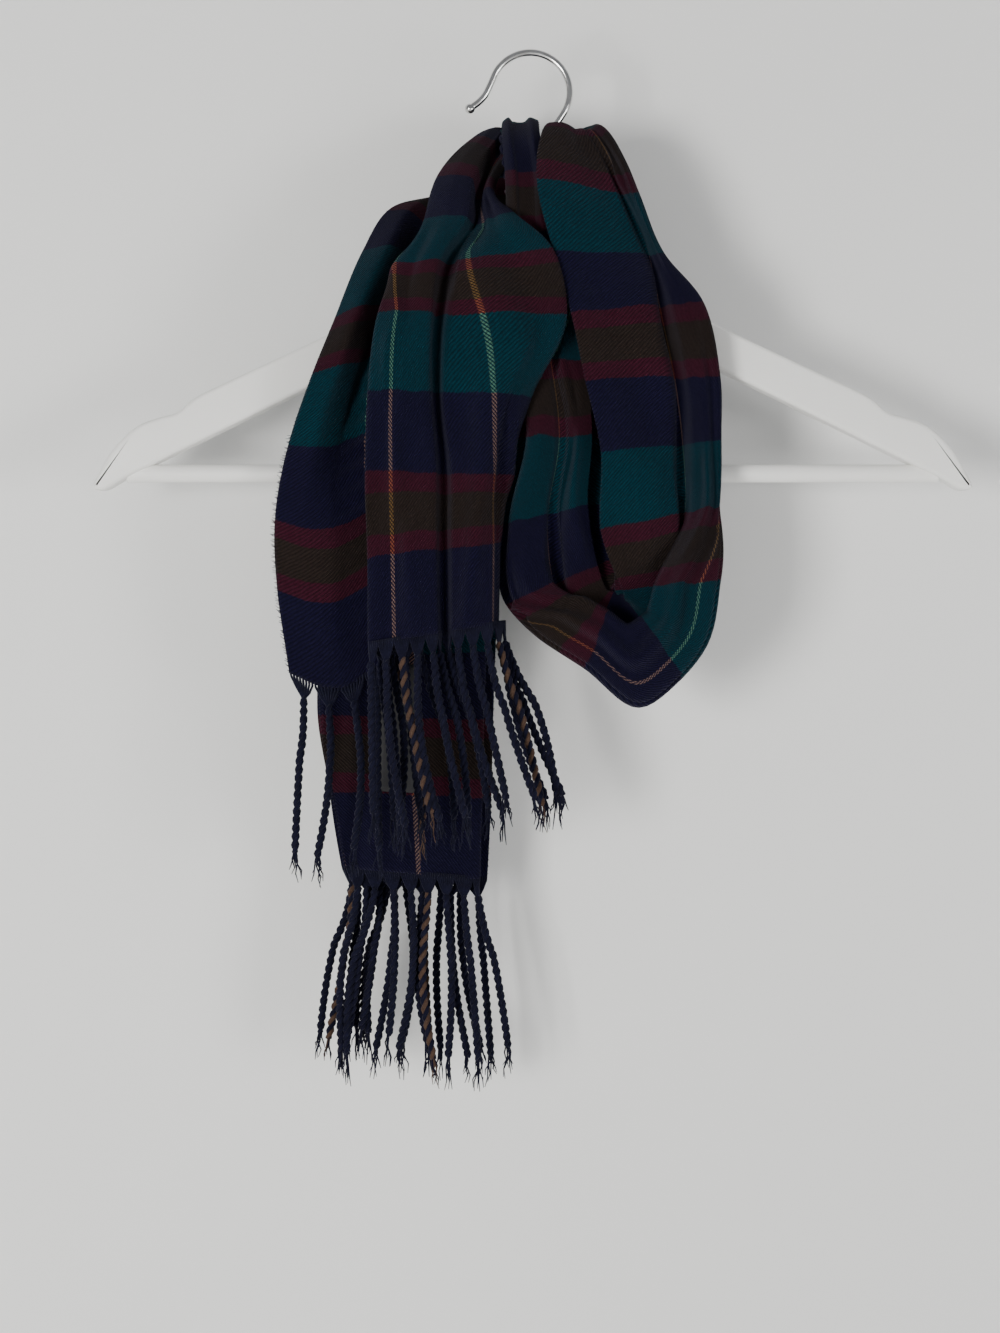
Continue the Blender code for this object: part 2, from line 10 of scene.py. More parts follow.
import bmesh
import bpy
import numpy as np
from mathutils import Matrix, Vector


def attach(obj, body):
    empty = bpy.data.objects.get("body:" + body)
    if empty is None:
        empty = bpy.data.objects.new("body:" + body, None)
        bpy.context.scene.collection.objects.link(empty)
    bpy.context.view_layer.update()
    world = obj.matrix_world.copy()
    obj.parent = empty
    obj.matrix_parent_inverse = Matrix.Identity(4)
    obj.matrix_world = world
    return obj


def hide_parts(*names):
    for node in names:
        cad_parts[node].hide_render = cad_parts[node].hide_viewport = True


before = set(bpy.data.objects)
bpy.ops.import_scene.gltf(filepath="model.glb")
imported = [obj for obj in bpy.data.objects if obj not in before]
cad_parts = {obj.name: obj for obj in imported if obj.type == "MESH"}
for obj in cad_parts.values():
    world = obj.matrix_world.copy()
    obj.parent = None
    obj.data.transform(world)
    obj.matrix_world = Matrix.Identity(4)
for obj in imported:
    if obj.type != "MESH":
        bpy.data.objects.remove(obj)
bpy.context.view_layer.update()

MM = 0.001

# Cloth
WALL = 1.0
SCARF_WIDTH = 276.0
SCARF_LENGTH = 1564.0
SCARF_ROWS = 530
SLOPE_STEP = 1.0
FOLD_PULL = 0.6

# Camera
CAMERA_X = -15.4
CAMERA_DROP = 312.9
CAMERA_FRONT = 1230.0
CAMERA_HALF_WIDTH = 0.25 / 1.2   # half the view's width over its distance

# Stage, in metres
LIGHT_TARGET = (0.0, 0.0, -0.3)
BACKDROP_Y = 0.064
FLOOR_Z = -0.75

# Hanger
HANGER_CENTRE = 1.3
ARM_GAP = 0.3
ARM_THICK = 13.0
ARM_EDGE_ROUND = 2.4
ARM_CORNER = 7.0
ROUND_STEPS = 5
BAR_RADIUS = 4.6
BAR_DROP = 214.0
BAR_HALF = 207.5
WIRE_RADIUS = 1.75
WIRE_SIDES = 20
HOOK_RADIUS = 20.25
HOOK_CENTRE_DROP = 18.5
STEM_FOOT = 105.5
BALL_RADIUS = 2.6

# Fringe
TASSELS = 24
TASSEL_LENGTH = 92.0
TWIST_PITCH = 8.5
PLY_RADIUS = 1.25
PLY_OFFSET = 1.05
PLY_SIDES = 6
TASSEL_STEPS = 60
YARNS_PER_TASSEL = 8
FRAYS_PER_TASSEL = 7
LINE_REACH = 6.0     # a tassel this far past a bright line holds its yarn
GATHER = 9.0
FRAYED_END = 125.0   # the outer selvage is frayed from the hem up to here

PLEAT_FIELDS = "lip floor step deep turned tuck pleat under layer peek hang curl trough side sag"
Pleats = namedtuple("Pleats", PLEAT_FIELDS)
Section = namedtuple("Section", "cloth inner outer edge lean pleats")
Crease = namedtuple("Crease", "from_length from_width to_length to_width reach height")
Fall = namedtuple("Fall", "left right spread outward")

# How the cloth is pleated across; shares run from the inner selvage (0) to the outer fold (1). Trough is
# the depth of a hollow in the outer margin, side is its share from the outer selvage to the first turn,
# and sag is how far that margin hangs below the straight line.
#                  lip floor  step deep turned tuck pleat under layer peek hang curl trough side sag
TAIL_HEM = Pleats(0.38, 0.45, 0.50, 4.5, 0.0, 0.62, 0.80, 4.5, 3.6, 0.96, 0.0, 15.0, 0.0, 0.42, 15.0)
TAIL_LOW = Pleats(0.38, 0.45, 0.50, 4.5, 0.0, 0.62, 0.80, 4.5, 3.6, 0.96, 0.0, 15.0, 3.0, 0.42, 14.0)
TAIL_MID = Pleats(0.54, 0.59, 0.63, 5.0, 0.0, 0.72, 0.84, 4.5, 3.6, 0.97, 0.0, 9.0, 11.0, 0.38, 9.0)
TAIL_WIDE = Pleats(0.64, 0.69, 0.73, 7.0, 0.0, 0.80, 0.86, 4.2, 3.4, 0.98, 0.0, 2.0, 17.0, 0.50, 5.0)
TAIL_BEND = Pleats(0.60, 0.66, 0.73, 9.0, 0.0, 0.80, 0.86, 4.2, 3.4, 0.98, 0.0, 2.0, 19.0, 0.54, 2.0)
TAIL_HIGH = Pleats(0.34, 0.45, 0.54, 9.0, 0.0, 0.64, 0.70, 10.0, 3.2, 0.98, 0.0, 0.0, 20.0, 0.56, 0.0)
TAIL_TOP = Pleats(0.20, 0.30, 0.40, 6.0, 0.0, 0.56, 0.60, 12.0, 3.0, 0.98, 0.0, 3.0, 9.0, 0.55, 0.0)
NECK = Pleats(0.28, 0.35, 0.42, 1.0, 0.0, 0.48, 0.50, 11.0, 2.8, 1.0, 2.0, 0.0, 0.0, 0.22, 0.0)
NECK_END = Pleats(0.40, 0.48, 0.56, 1.0, 0.0, 0.34, 0.36, 9.0, 2.8, 1.0, 1.0, 0.0, 0.0, 0.22, 0.0)
FALL_TOP = Pleats(0.60, 0.67, 0.74, 1.0, 0.0, 0.26, 0.27, 3.2, 2.8, 1.0, 1.0, 0.0, 0.0, 0.22, 0.0)
FALL_BEND = Pleats(0.74, 0.80, 0.86, 2.0, 0.0, 0.21, 0.21, 3.2, 2.8, 1.0, 0.0, 0.0, 0.0, 0.22, 0.0)
FALL_HIGH = Pleats(0.80, 0.86, 0.91, 5.0, 0.0, 0.17, 0.17, 4.0, 3.0, 0.98, 0.0, 0.0, 0.0, 0.22, 0.0)
FALL_MID = Pleats(0.60, 0.67, 0.76, 9.0, 0.0, 0.12, 0.12, 4.0, 3.1, 0.98, 0.0, 1.0, 0.0, 0.22, 0.0)
FALL_LOW = Pleats(0.64, 0.69, 0.74, 8.0, 0.1, 0.16, 0.79, 6.5, 3.7, 1.0, 0.0, 1.0, 0.0, 0.22, 0.0)
TURN = Pleats(0.56, 0.64, 0.34, 0.0, 1.0, -0.06, 0.76, 5.0, 4.2, 1.04, 0.0, 0.0, 0.0, 0.22, 0.0)
TURN_END = Pleats(0.54, 0.62, 0.34, 0.0, 1.0, -0.30, 0.74, 5.0, 4.2, 1.04, 0.0, 0.0, 0.0, 0.22, 0.0)
RISE_LOW = Pleats(0.40, 0.47, 0.54, 4.0, 0.1, -0.34, 0.66, 4.6, 3.2, 1.09, 0.0, 0.0, 0.0, 0.22, 0.0)
RISE = Pleats(0.36, 0.46, 0.58, 3.0, 0.0, -0.42, 0.12, 4.2, 3.0, 1.14, 0.0, 0.0, 0.0, 0.22, 0.0)
RISE_HIGH = Pleats(0.36, 0.46, 0.58, 1.6, 0.0, -0.10, 0.12, 4.2, 3.0, 1.08, 0.0, 0.0, 0.0, 0.22, 0.0)
CROSS = Pleats(0.34, 0.50, 0.66, 0.4, 0.0, 0.14, 0.14, 3.6, 3.0, 1.0, 0.0, 0.0, 0.0, 0.22, 0.0)
CROSS_TOP = Pleats(0.34, 0.50, 0.66, 0.4, 0.0, 0.14, 0.14, 2.5, 2.4, 1.0, 0.0, 0.0, 0.0, 0.22, 0.0)
REAR_TOP = Pleats(0.40, 0.50, 0.60, 0.6, 0.0, 0.12, 0.38, 3.6, 3.2, 0.99, 0.0, 0.0, 0.0, 0.22, 0.0)
REAR = Pleats(0.41, 0.49, 0.57, 0.6, 0.0, 0.06, 0.66, 3.6, 3.2, 0.98, 0.0, 0.0, 0.0, 0.22, 0.0)

# A row for each section along the cloth: its length from the front hem, then (x, drop, front) of the
# inner selvage, the outer fold and the outer selvage, and which way the face looks in degrees.
TAIL_A = (
    Section(0, (-13, 291, 34), (-80, 302, 40), (-122, 316, 16), 0, TAIL_HEM),
    Section(42, (-13, 251, 35), (-81, 259, 41), (-128, 274, 17), 0, TAIL_LOW),
    Section(82, (-12, 217, 36), (-82, 217, 42), (-129, 239, 19), 0, TAIL_LOW),
    Section(122, (0, 178, 36), (-80, 177, 42), (-122, 202, 22), 0, TAIL_MID),
    Section(162, (18, 137, 35), (-75, 137, 41), (-109, 166, 30), 0, TAIL_WIDE),
    Section(202, (11, 104, 32), (-66, 113, 38), (-98, 138, 27), 5, TAIL_BEND),
    Section(242, (-8, 86, 26), (-53, 90, 31), (-85, 104, 18), 18, TAIL_HIGH),
    Section(282, (-18, 71, 12), (-47, 67, 19), (-73, 81, 6), 42, TAIL_TOP),
)
NECK_ROWS = (
    Section(318, (-10, 52, -3), (-31, 44, -1), (-44, 67, -14), 68, NECK),
    Section(342, (-6, 44, -8), (-21, 35, -20), None, 90, NECK),
    Section(366, (3, 45, -8), (4, 42, -29), None, 90, NECK),
    Section(388, (21, 37, -7), (34, 35, -18), None, 90, NECK_END),
)
LOOP_RIGHT = (
    Section(408, (9, 37, 8), (40, 40, 4), None, 62, FALL_TOP),
    Section(424, (4, 50, 17), (48, 57, 14), None, 32, FALL_BEND),
    Section(442, (3, 67, 23), (54, 74, 19), None, 8, FALL_HIGH),
    Section(482, (11, 104, 28), (67, 105, 21), None, 0, FALL_HIGH),
    Section(522, (20, 136, 32), (86, 130, 26), None, 0, FALL_MID),
    Section(562, (27, 169, 31), (94, 167, 24), None, 0, FALL_MID),
    Section(602, (35, 205, 31), (95, 199, 25), None, 0, FALL_MID),
    Section(642, (35, 244, 29), (95, 232, 28), None, 0, FALL_LOW),
)
LOOP_BOTTOM = (
    Section(682, (46, 274, 22), (92, 270, 38), None, 0, TURN),
    Section(706, (48, 279, 20), (84, 303, 39), None, 0, TURN),
    Section(726, (47, 277, 19), (72, 318, 39), None, 0, TURN),
    Section(744, (45, 276, 18), (56, 330, 38), None, 0, TURN),
    Section(762, (42, 275, 17), (28, 311, 36), None, 0, TURN_END),
    Section(782, (38, 273, 16), (5, 296, 30), None, 0, TURN_END),
)
LOOP_LEFT = (
    Section(802, (34, 262, 17), (-8, 280, 23), None, 0, RISE_LOW),
    Section(842, (29, 232, 19), (-10, 241, 20), None, 0, RISE_LOW),
    Section(882, (31, 196, 20), (-1, 197, 21), None, 0, RISE),
    Section(922, (28, 158, 19), (-8, 158, 21), None, 0, RISE_HIGH),
)
CROSSING = (
    Section(962, (22, 124, 19), (-12, 124, 20), None, 0, CROSS),
    Section(1002, (11, 94, 20), (-11, 94, 20), None, 0, CROSS),
    Section(1042, (8, 63, 17), (-12, 63, 17), None, 12, CROSS),
    Section(1066, (5, 45, 11), (-14, 45, 11), None, 40, CROSS_TOP),
    Section(1086, (4, 32, -9), (-14, 32, -9), None, 76, CROSS_TOP),
    Section(1106, (2, 32, -38), (-15, 32, -38), None, 112, CROSS_TOP),
    Section(1126, (0, 54, -53), (-19, 54, -53), None, 156, CROSS_TOP),
)
TAIL_B = (
    Section(1162, (-2, 87, -55), (-32, 89, -55), None, 178, REAR_TOP),
    Section(1222, (-5, 134, -44), (-58, 136, -44), None, 184, REAR),
    Section(1322, (-11, 210, -32), (-88, 214, -32), None, 184, REAR),
    Section(1422, (-17, 288, -26), (-106, 288, -26), None, 182, REAR),
    Section(1482, (-19, 341, -24), (-110, 338, -24), None, 180, REAR),
    Section(1522, (-20, 381, -23), (-104, 377, -23), None, 180, REAR),
    Section(1564, (-22, 423, -22), (-97, 417, -22), None, 180, REAR),
)
# Widths on the cloth, from the outer selvage, at the fold points named here: the outer selvage, the first
# turn, the outer fold, the valley's floor, its near lip, the shoulder and the inner edge. A row for each
# section of the front tail; the other stretches keep one row throughout.
ANCHOR_POINTS = (0, 3, 10, 14, 16, 18, 19)
TAIL_A_WIDTHS = (
    (0, 64, 120, 184, 198, 228, 244),
    (0, 66, 120, 184, 198, 228, 246),
    (0, 74, 120, 184, 200, 230, 258),
    (0, 78, 120, 186, 204, 238, 276),
    (0, 78, 122, 190, 216, 252, 276),
    (0, 78, 139, 200, 226, 262, 276),
    (0, 78, 150, 218, 238, 262, 276),
    (0, 76, 150, 222, 240, 264, 276),
)
NECK_WIDTHS = (0, 70, 150, 222, 240, 264, 276)
FALL_WIDTHS = (0, 60, 146, 232, 237, 266, 276)
TURN_WIDTHS = (0, 60, 122, 226, 238, 266, 276)
RISE_WIDTHS = (0, 60, 170, 232, 237, 266, 276)
CROSS_WIDTHS = (0, 60, 144, 182, 192, 222, 228)
TAIL_B_WIDTHS = (0, 84, 186, 230, 240, 266, 276)
STRETCHES = (
    (TAIL_A, TAIL_A_WIDTHS),
    (NECK_ROWS, (NECK_WIDTHS,) * len(NECK_ROWS)),
    (LOOP_RIGHT, (FALL_WIDTHS,) * len(LOOP_RIGHT)),
    (LOOP_BOTTOM, (TURN_WIDTHS,) * len(LOOP_BOTTOM)),
    (LOOP_LEFT, (RISE_WIDTHS,) * len(LOOP_LEFT)),
    (CROSSING, (CROSS_WIDTHS,) * len(CROSSING)),
    (TAIL_B, (TAIL_B_WIDTHS,) * len(TAIL_B)),
)
# Facets between one fold point and the next, from the outer selvage to the inner one.
FACETS = (6, 6, 9, 3, 5, 3, 3, 3, 3, 4, 9, 6, 3, 2, 2, 4, 7, 6, 5)

# The layers folded behind are crushed into short waves.
CRUSHED_COLUMNS = (FACETS[0] + 2, sum(FACETS[:3]), sum(FACETS[:8]), sum(FACETS[:9]) - 1)
CRUSH_HEIGHT = 1.3
CRUSH_LENGTH = 11.0
SMOOTH_START = 600.0   # no crush along the open bottom of the loop
SMOOTH_END = 960.0
SMOOTH_FADE_IN = 40.0
SMOOTH_FADE_OUT = 30.0
REAR_START = 1130.0    # and none on the rear tail
REAR_FADE = 40.0

# Behind the hanger the rear tail hangs slack, in shallow waves across it.
SLACK_START = 1165.0
SLACK_END = 1452.0
SLACK_FADE = 40.0
SLACK_WAVE = 30.0
SLACK_HEIGHT = 5.2

# Soft creases laid into the face: a line on the cloth, how far it reaches to each side, and how
# high it stands (a ridge) or how deep it lies (a trough, less than zero).
CREASES = (
    Crease(0, 60, 130, 44, 12, 2.7),
    Crease(20, 24, 170, 30, 10, -2.7),
    Crease(60, 70, 200, 58, 9, -2.4),
    Crease(0, 132, 90, 150, 11, 3.1),
    Crease(0, 155, 140, 134, 8, -2.9),
    Crease(60, 128, 220, 156, 9, 2.5),
    Crease(120, 146, 250, 130, 8, -2.2),
    Crease(0, 208, 110, 226, 10, -3.7),
    Crease(0, 240, 130, 246, 10, 4.1),
    Crease(70, 262, 170, 238, 10, -3.4),
    Crease(120, 212, 230, 232, 12, 3.7),
    Crease(150, 254, 260, 246, 9, 2.7),
    Crease(190, 226, 290, 214, 9, -2.7),
    Crease(395, 250, 470, 236, 12, 2.4),
    Crease(430, 222, 560, 246, 13, -2.5),
    Crease(500, 262, 620, 240, 12, 2.7),
    Crease(540, 226, 660, 256, 11, -2.5),
    Crease(560, 160, 700, 150, 10, 3.1),
    Crease(620, 176, 720, 166, 8, -2.5),
    Crease(660, 142, 800, 146, 7, 2.7),
    Crease(670, 158, 800, 160, 6, -3.4),
    Crease(680, 172, 810, 174, 7, 2.7),
    Crease(700, 188, 800, 190, 6, -2.7),
    Crease(800, 232, 900, 250, 10, 2.4),
    Crease(820, 262, 940, 236, 9, -2.4),
    Crease(830, 150, 930, 164, 9, 2.2),
    Crease(1180, 40, 1420, 30, 14, 2.2),
    Crease(1300, 62, 1564, 66, 12, -2.2),
    Crease(1380, 14, 1564, 20, 10, 2.0),
    Crease(1240, 250, 1564, 262, 12, 2.0),
    Crease(1200, 214, 1500, 236, 12, -2.0),
)

# The hanger's arm from its middle outwards, as (x from the middle, drop).
ARM_OUTLINE = (
    (ARM_GAP / 2, 93.6),
    (97, 140),
    (173, 175.5),
    (181, 183.5),
    (190, 185.5),
    (202, 189.5),
    (215, 202),
    (223, 217),
    (225.5, 222),
    (218, 223),
    (209.6, 217.5),
    (94, 160.7),
    (ARM_GAP / 2, 114),
)
STEM_LINE = ((13.3, 34.8), (9.9, 39.6), (6.5, 44.4), (3.8, 48.8), (2.0, 53.5), (HANGER_CENTRE, 60))
LIMB_LINE = ((-30.8, 27.0), (-26.8, 24.0), (-23.4, 20.5), (-21.2, 16.5))

# The label, sewn to the front layer of the rear tail.
LABEL_LEFT = -77.5
LABEL_RIGHT = -57.5
LABEL_START = 1450.0
LABEL_END = 1521.0

FRONT_FALL = Fall(-128.0, 12.0, 1.15, -1.0)
REAR_FALL = Fall(-112.0, -10.0, 1.15, 1.0)

# Colours of the yarns, linear
NAVY = (0.0044, 0.0034, 0.0175, 1.0)
TEAL = (0.0008, 0.021, 0.031, 1.0)
MAROON = (0.030, 0.0040, 0.0110, 1.0)
OLIVE = (0.0150, 0.0098, 0.0078, 1.0)
CREAM = (0.20, 0.12, 0.10, 1.0)
ORANGE = (0.24, 0.07, 0.035, 1.0)
MUSTARD = (0.16, 0.09, 0.03, 1.0)
PALE_GREEN = (0.08, 0.19, 0.13, 1.0)
TAN = (0.10, 0.058, 0.040, 1.0)

# The plaid along its length: one repeat in millimetres from the hem band, as (start, yarn, line's yarn)
HEM_BAND = 42.0
REPEAT = 240.0
BANDS = (
    (0.0, MAROON, ORANGE),
    (10.0, OLIVE, MUSTARD),
    (30.0, MAROON, ORANGE),
    (40.0, NAVY, CREAM),
    (80.0, TEAL, PALE_GREEN),
    (120.0, MAROON, ORANGE),
    (130.0, OLIVE, MUSTARD),
    (150.0, MAROON, ORANGE),
    (160.0, TEAL, PALE_GREEN),
    (200.0, NAVY, CREAM),
)
WARP_LINES = (46.0, 138.0, 230.0)
WARP_LINE_HALF = 1.4
RIB_PITCH = 2.1
LABEL_RIB_PITCH = 0.5


def row_points(row):
    """The fold points of one section as (x, drop, front), from the outer selvage to the inner one."""
    pleats = row.pleats
    inner, outer = np.array(row.inner, float), np.array(row.outer, float)
    lean = math.radians(row.lean)
    out = np.array((0.0, -math.sin(lean), math.cos(lean)))
    level = float(np.dot(outer - inner, out))
    across = outer - inner - level * out
    width = float(np.linalg.norm(across))

    def at(share, height):
        return inner + share * across + height * out

    slope = min(level, 0.0)
    lowest = min(slope * pleats.floor - pleats.deep, level) - pleats.layer
    first = level - pleats.under
    if pleats.pleat < pleats.step + 0.03:
        first = min(first, lowest)
    second = first - 2 * pleats.layer
    if pleats.tuck < pleats.step + 0.03:
        second = min(second, lowest)
    last = second - pleats.layer
    rim = (1.0 - pleats.turned) * pleats.layer / width
    rise = pleats.turned * pleats.layer
    bank = (1.0 - pleats.turned) * min(1.5, 0.3 * pleats.deep)
    tuck = at(pleats.tuck, last)
    edge = at(0.97, last - pleats.hang) if row.edge is None else np.array(row.edge, float)
    sag = np.array((0.0, pleats.sag, 0.0))
    ridge = edge + 0.52 * pleats.side * (tuck - edge) + 0.12 * pleats.trough * out + 0.7 * sag
    valley = edge + pleats.side * (tuck - edge) - pleats.trough * out + sag
    return np.array([
        edge,
        ridge,
        valley,
        tuck,
        at(pleats.tuck, second),
        at(pleats.peek, second),
        at(pleats.peek, first - pleats.layer),
        at(pleats.pleat, first - pleats.layer),
        at(pleats.pleat, first),
        at(1.0, first),
        at(1.0, level),
        at(0.5 + 0.5 * pleats.step, level + 2.0),
        at(pleats.step + rim / 2, level),
        at(pleats.step, level - rise - bank),
        at(pleats.floor + rim / 2, slope * pleats.floor + rise - pleats.deep),
        at(pleats.floor - rim / 2, slope * pleats.floor - pleats.deep),
        at(pleats.lip, slope * pleats.lip),
        at(0.6 * pleats.lip, 0.6 * slope * pleats.lip + 1.5),
        at(0.25 * pleats.lip, 0.5 - 0.1 * pleats.curl),
        at(0.0, -pleats.curl),
    ])


def smooth(points, knots, at, pull=1.0):
    """A smooth curve through the points, read at the given knots; less pull gives tighter corners."""
    points = np.asarray(points, float)
    knots = np.asarray(knots, float)
    slopes = np.gradient(points, knots, axis=0, edge_order=1) * pull
    at = np.clip(np.asarray(at, float), knots[0], knots[-1])
    index = np.clip(np.searchsorted(knots, at, side="right") - 1, 0, len(knots) - 2)
    length = knots[index + 1] - knots[index]
    t = (at - knots[index]) / length
    shape = (-1,) + (1,) * (points.ndim - 1)
    t = t.reshape(shape)
    length = length.reshape(shape)
    start, end = points[index], points[index + 1]
    return (
        (2 * t**3 - 3 * t**2 + 1) * start
        + (t**3 - 2 * t**2 + t) * length * slopes[index]
        + (3 * t**2 - 2 * t**3) * end
        + (t**3 - t**2) * length * slopes[index + 1]
    )


def across_curve(points, anchors):
    """One section as a fine smooth curve, with the width on the cloth at each of its points."""
    steps = np.linalg.norm(np.diff(points, axis=0), axis=1)
    knots = np.concatenate([[0.0], np.cumsum(np.sqrt(np.maximum(steps, 0.5)))])
    at = [knots[0]]
    for k, facets in enumerate(FACETS):
        at.extend(knots[k] + (knots[k + 1] - knots[k]) * (n + 1) / facets for n in range(facets))
    curve = smooth(points, knots, at, FOLD_PULL)
    reach = np.concatenate([[0.0], np.cumsum(np.linalg.norm(np.diff(curve, axis=0), axis=1))])
    columns = np.concatenate([[0], np.cumsum(FACETS)])
    widths = np.interp(reach, reach[columns[list(ANCHOR_POINTS)]], anchors)
    return curve, widths


def to_world(points):
    """(x, drop, front) in millimetres to metres."""
    points = np.asarray(points, float)
    return np.stack([points[..., 0], -points[..., 2], -points[..., 1]], axis=-1) * MM


class Cloth:
    """The whole scarf as sections along a path."""

    def __init__(self):
        rows = [pair for table, widths in STRETCHES for pair in zip(table, widths)]
        read = [across_curve(row_points(row), anchors) for row, anchors in rows]
        self.curves = np.array([curve for curve, _ in read])
        self.widths = np.array([widths for _, widths in read])
        self.lengths = np.array([float(row.cloth) for row, _ in rows])
        middles = self.curves.mean(axis=1)
        steps = np.linalg.norm(np.diff(middles, axis=0), axis=1)
        self.knots = np.concatenate([[0.0], np.cumsum(steps)])

    def place(self, at):
        """Points in metres, with the slack that hangs in waves behind the hanger."""
        points = smooth(self.curves, self.knots, at)
        lengths = np.interp(at, self.knots, self.lengths)
        ends = np.clip((lengths - SLACK_START) / SLACK_FADE, 0, 1)
        ends = ends * np.clip((SLACK_END - lengths) / SLACK_FADE, 0, 1)
        turn = 2 * math.pi * lengths[:, None] / SLACK_WAVE + points[..., 0] / 40.0
        points[..., 2] += SLACK_HEIGHT * ends[:, None] * np.sin(turn)
        return to_world(points)

    def read(self, at):
        """Points in metres, unit directions along, lengths and widths on the cloth at these knots."""
        grid = self.place(at)
        ahead = self.place(at + SLOPE_STEP)
        behind = self.place(at - SLOPE_STEP)
        along = ahead - behind
        along /= np.linalg.norm(along, axis=2, keepdims=True)
        lengths = np.interp(at, self.knots, self.lengths)
        widths = np.stack(
            [np.interp(at, self.knots, self.widths[:, k]) for k in range(self.widths.shape[1])], axis=1
        )
        return grid, along, lengths, widths


def face_normals(grid, along):
    """The way the cloth's face looks at each point of a grid."""
    sides = np.diff(grid, axis=1)
    sides = np.cross(along[:, :-1] + along[:, 1:], sides)
    sides /= np.maximum(np.linalg.norm(sides, axis=2, keepdims=True), 1e-12)
    normal = np.concatenate([sides[:, :1], sides[:, :-1] + sides[:, 1:], sides[:, -1:]], axis=1)
    return normal / np.maximum(np.linalg.norm(normal, axis=2, keepdims=True), 1e-12)


def crease_heights(lengths, widths):
    """How far the listed creases move each point of the cloth, in millimetres."""
    height = np.zeros_like(widths)
    lengths = np.broadcast_to(lengths[:, None], widths.shape)
    for crease in CREASES:
        way = np.array((crease.to_length - crease.from_length, crease.to_width - crease.from_width), float)
        size = np.dot(way, way)
        share = ((lengths - crease.from_length) * way[0] + (widths - crease.from_width) * way[1]) / size
        middle = np.clip(share, 0.0, 1.0)
        off_length = lengths - crease.from_length - middle * way[0]
        off_width = widths - crease.from_width - middle * way[1]
        distance = (off_length / 2.2) ** 2 + off_width**2
        height += crease.height * np.exp(-distance / (2 * (crease.reach / 2) ** 2))
    return height


def ripple(lengths, widths):
    """Small uneven waves over the whole cloth, and the crush of the layers folded behind, in millimetres."""
    lengths = lengths[:, None]
    waves = (
        0.30 * np.sin(lengths / 23.0 + 1.7 * np.sin(widths / 31.0))
        + 0.22 * np.sin(widths / 9.0 + 1.3 * np.sin(lengths / 37.0))
        + 0.14 * np.sin(lengths / 9.5 - widths / 14.0)
    )
    columns = np.arange(widths.shape[1])
    hidden = np.interp(columns, CRUSHED_COLUMNS, (0.0, 1.0, 1.0, 0.0))
    rear = np.clip((lengths - REAR_START) / REAR_FADE, 0.0, 1.0)
    open_loop = np.clip((lengths - SMOOTH_START) / SMOOTH_FADE_IN, 0.0, 1.0)
    open_loop = open_loop * np.clip((SMOOTH_END - lengths) / SMOOTH_FADE_OUT, 0.0, 1.0)
    crush = CRUSH_HEIGHT * np.sin(2 * math.pi * lengths / CRUSH_LENGTH + np.sin(widths / 17.0))
    return waves + crush * hidden * (1.0 - rear) * (1.0 - open_loop)


def new_object(name, vertices, faces, material):
    """A smooth-shaded mesh object in the scene."""
    mesh = bpy.data.meshes.new(name)
    mesh.from_pydata([tuple(v) for v in vertices], [], faces)
    mesh.shade_smooth()
    item = bpy.data.objects.new(name, mesh)
    bpy.context.scene.collection.objects.link(item)
    item.data.materials.append(material)
    return item


def add_layout(item, layout):
    """The cloth's own layout as a UV map: width and length in metres, a pair for each vertex."""
    layer = item.data.uv_layers.new(name="cloth")
    corners = np.empty(len(item.data.loops), dtype=np.int32)
    item.data.loops.foreach_get("vertex_index", corners)
    layer.data.foreach_set("uv", np.asarray(layout, np.float32)[corners].reshape(-1) * MM)


def wall_mesh(grid, normal, thick):
    """A closed wall of even thickness on a grid of points, as vertices and quads."""
    rows, columns = grid.shape[:2]
    face = grid + normal * (thick / 2)
    rear = grid - normal * (thick / 2)
    vertices = np.concatenate([face.reshape(-1, 3), rear.reshape(-1, 3)])
    count = rows * columns
    quads = []
    for i in range(rows - 1):
        for j in range(columns - 1):
            a = i * columns + j
            b, c, d = a + 1, a + columns + 1, a + columns
            quads.append((a, b, c, d))
            quads.append((count + a, count + d, count + c, count + b))
    rim = [i * columns for i in range(rows)]
    rim += [(rows - 1) * columns + j for j in range(1, columns)]
    rim += [i * columns + columns - 1 for i in range(rows - 2, -1, -1)]
    rim += [j for j in range(columns - 2, 0, -1)]
    for a, b in zip(rim, rim[1:] + rim[:1]):
        quads.append((a, b, count + b, count + a))
    return vertices, quads


def face_outwards(item):
    """All faces of a closed mesh turned to look out."""
    work = bmesh.new()
    work.from_mesh(item.data)
    bmesh.ops.recalc_face_normals(work, faces=work.faces)
    work.to_mesh(item.data)
    work.free()


def build_scarf(cloth, material):
    """The whole cloth as one closed wall, with its creases and small waves."""
    at = np.linspace(0.0, cloth.knots[-1], SCARF_ROWS)
    grid, along, lengths, widths = cloth.read(at)
    normal = face_normals(grid, along)
    height = crease_heights(lengths, widths) + ripple(lengths, widths)
    grid = grid + normal * height[..., None] * MM
    vertices, quads = wall_mesh(grid, normal, WALL * MM)
    item = new_object("scarf", vertices, quads, material)
    layout = np.stack([widths, np.broadcast_to(lengths[:, None], widths.shape)], axis=-1).reshape(-1, 2)
    add_layout(item, np.concatenate([layout, layout]))
    face_outwards(item)
    return item, grid, normal, lengths, widths


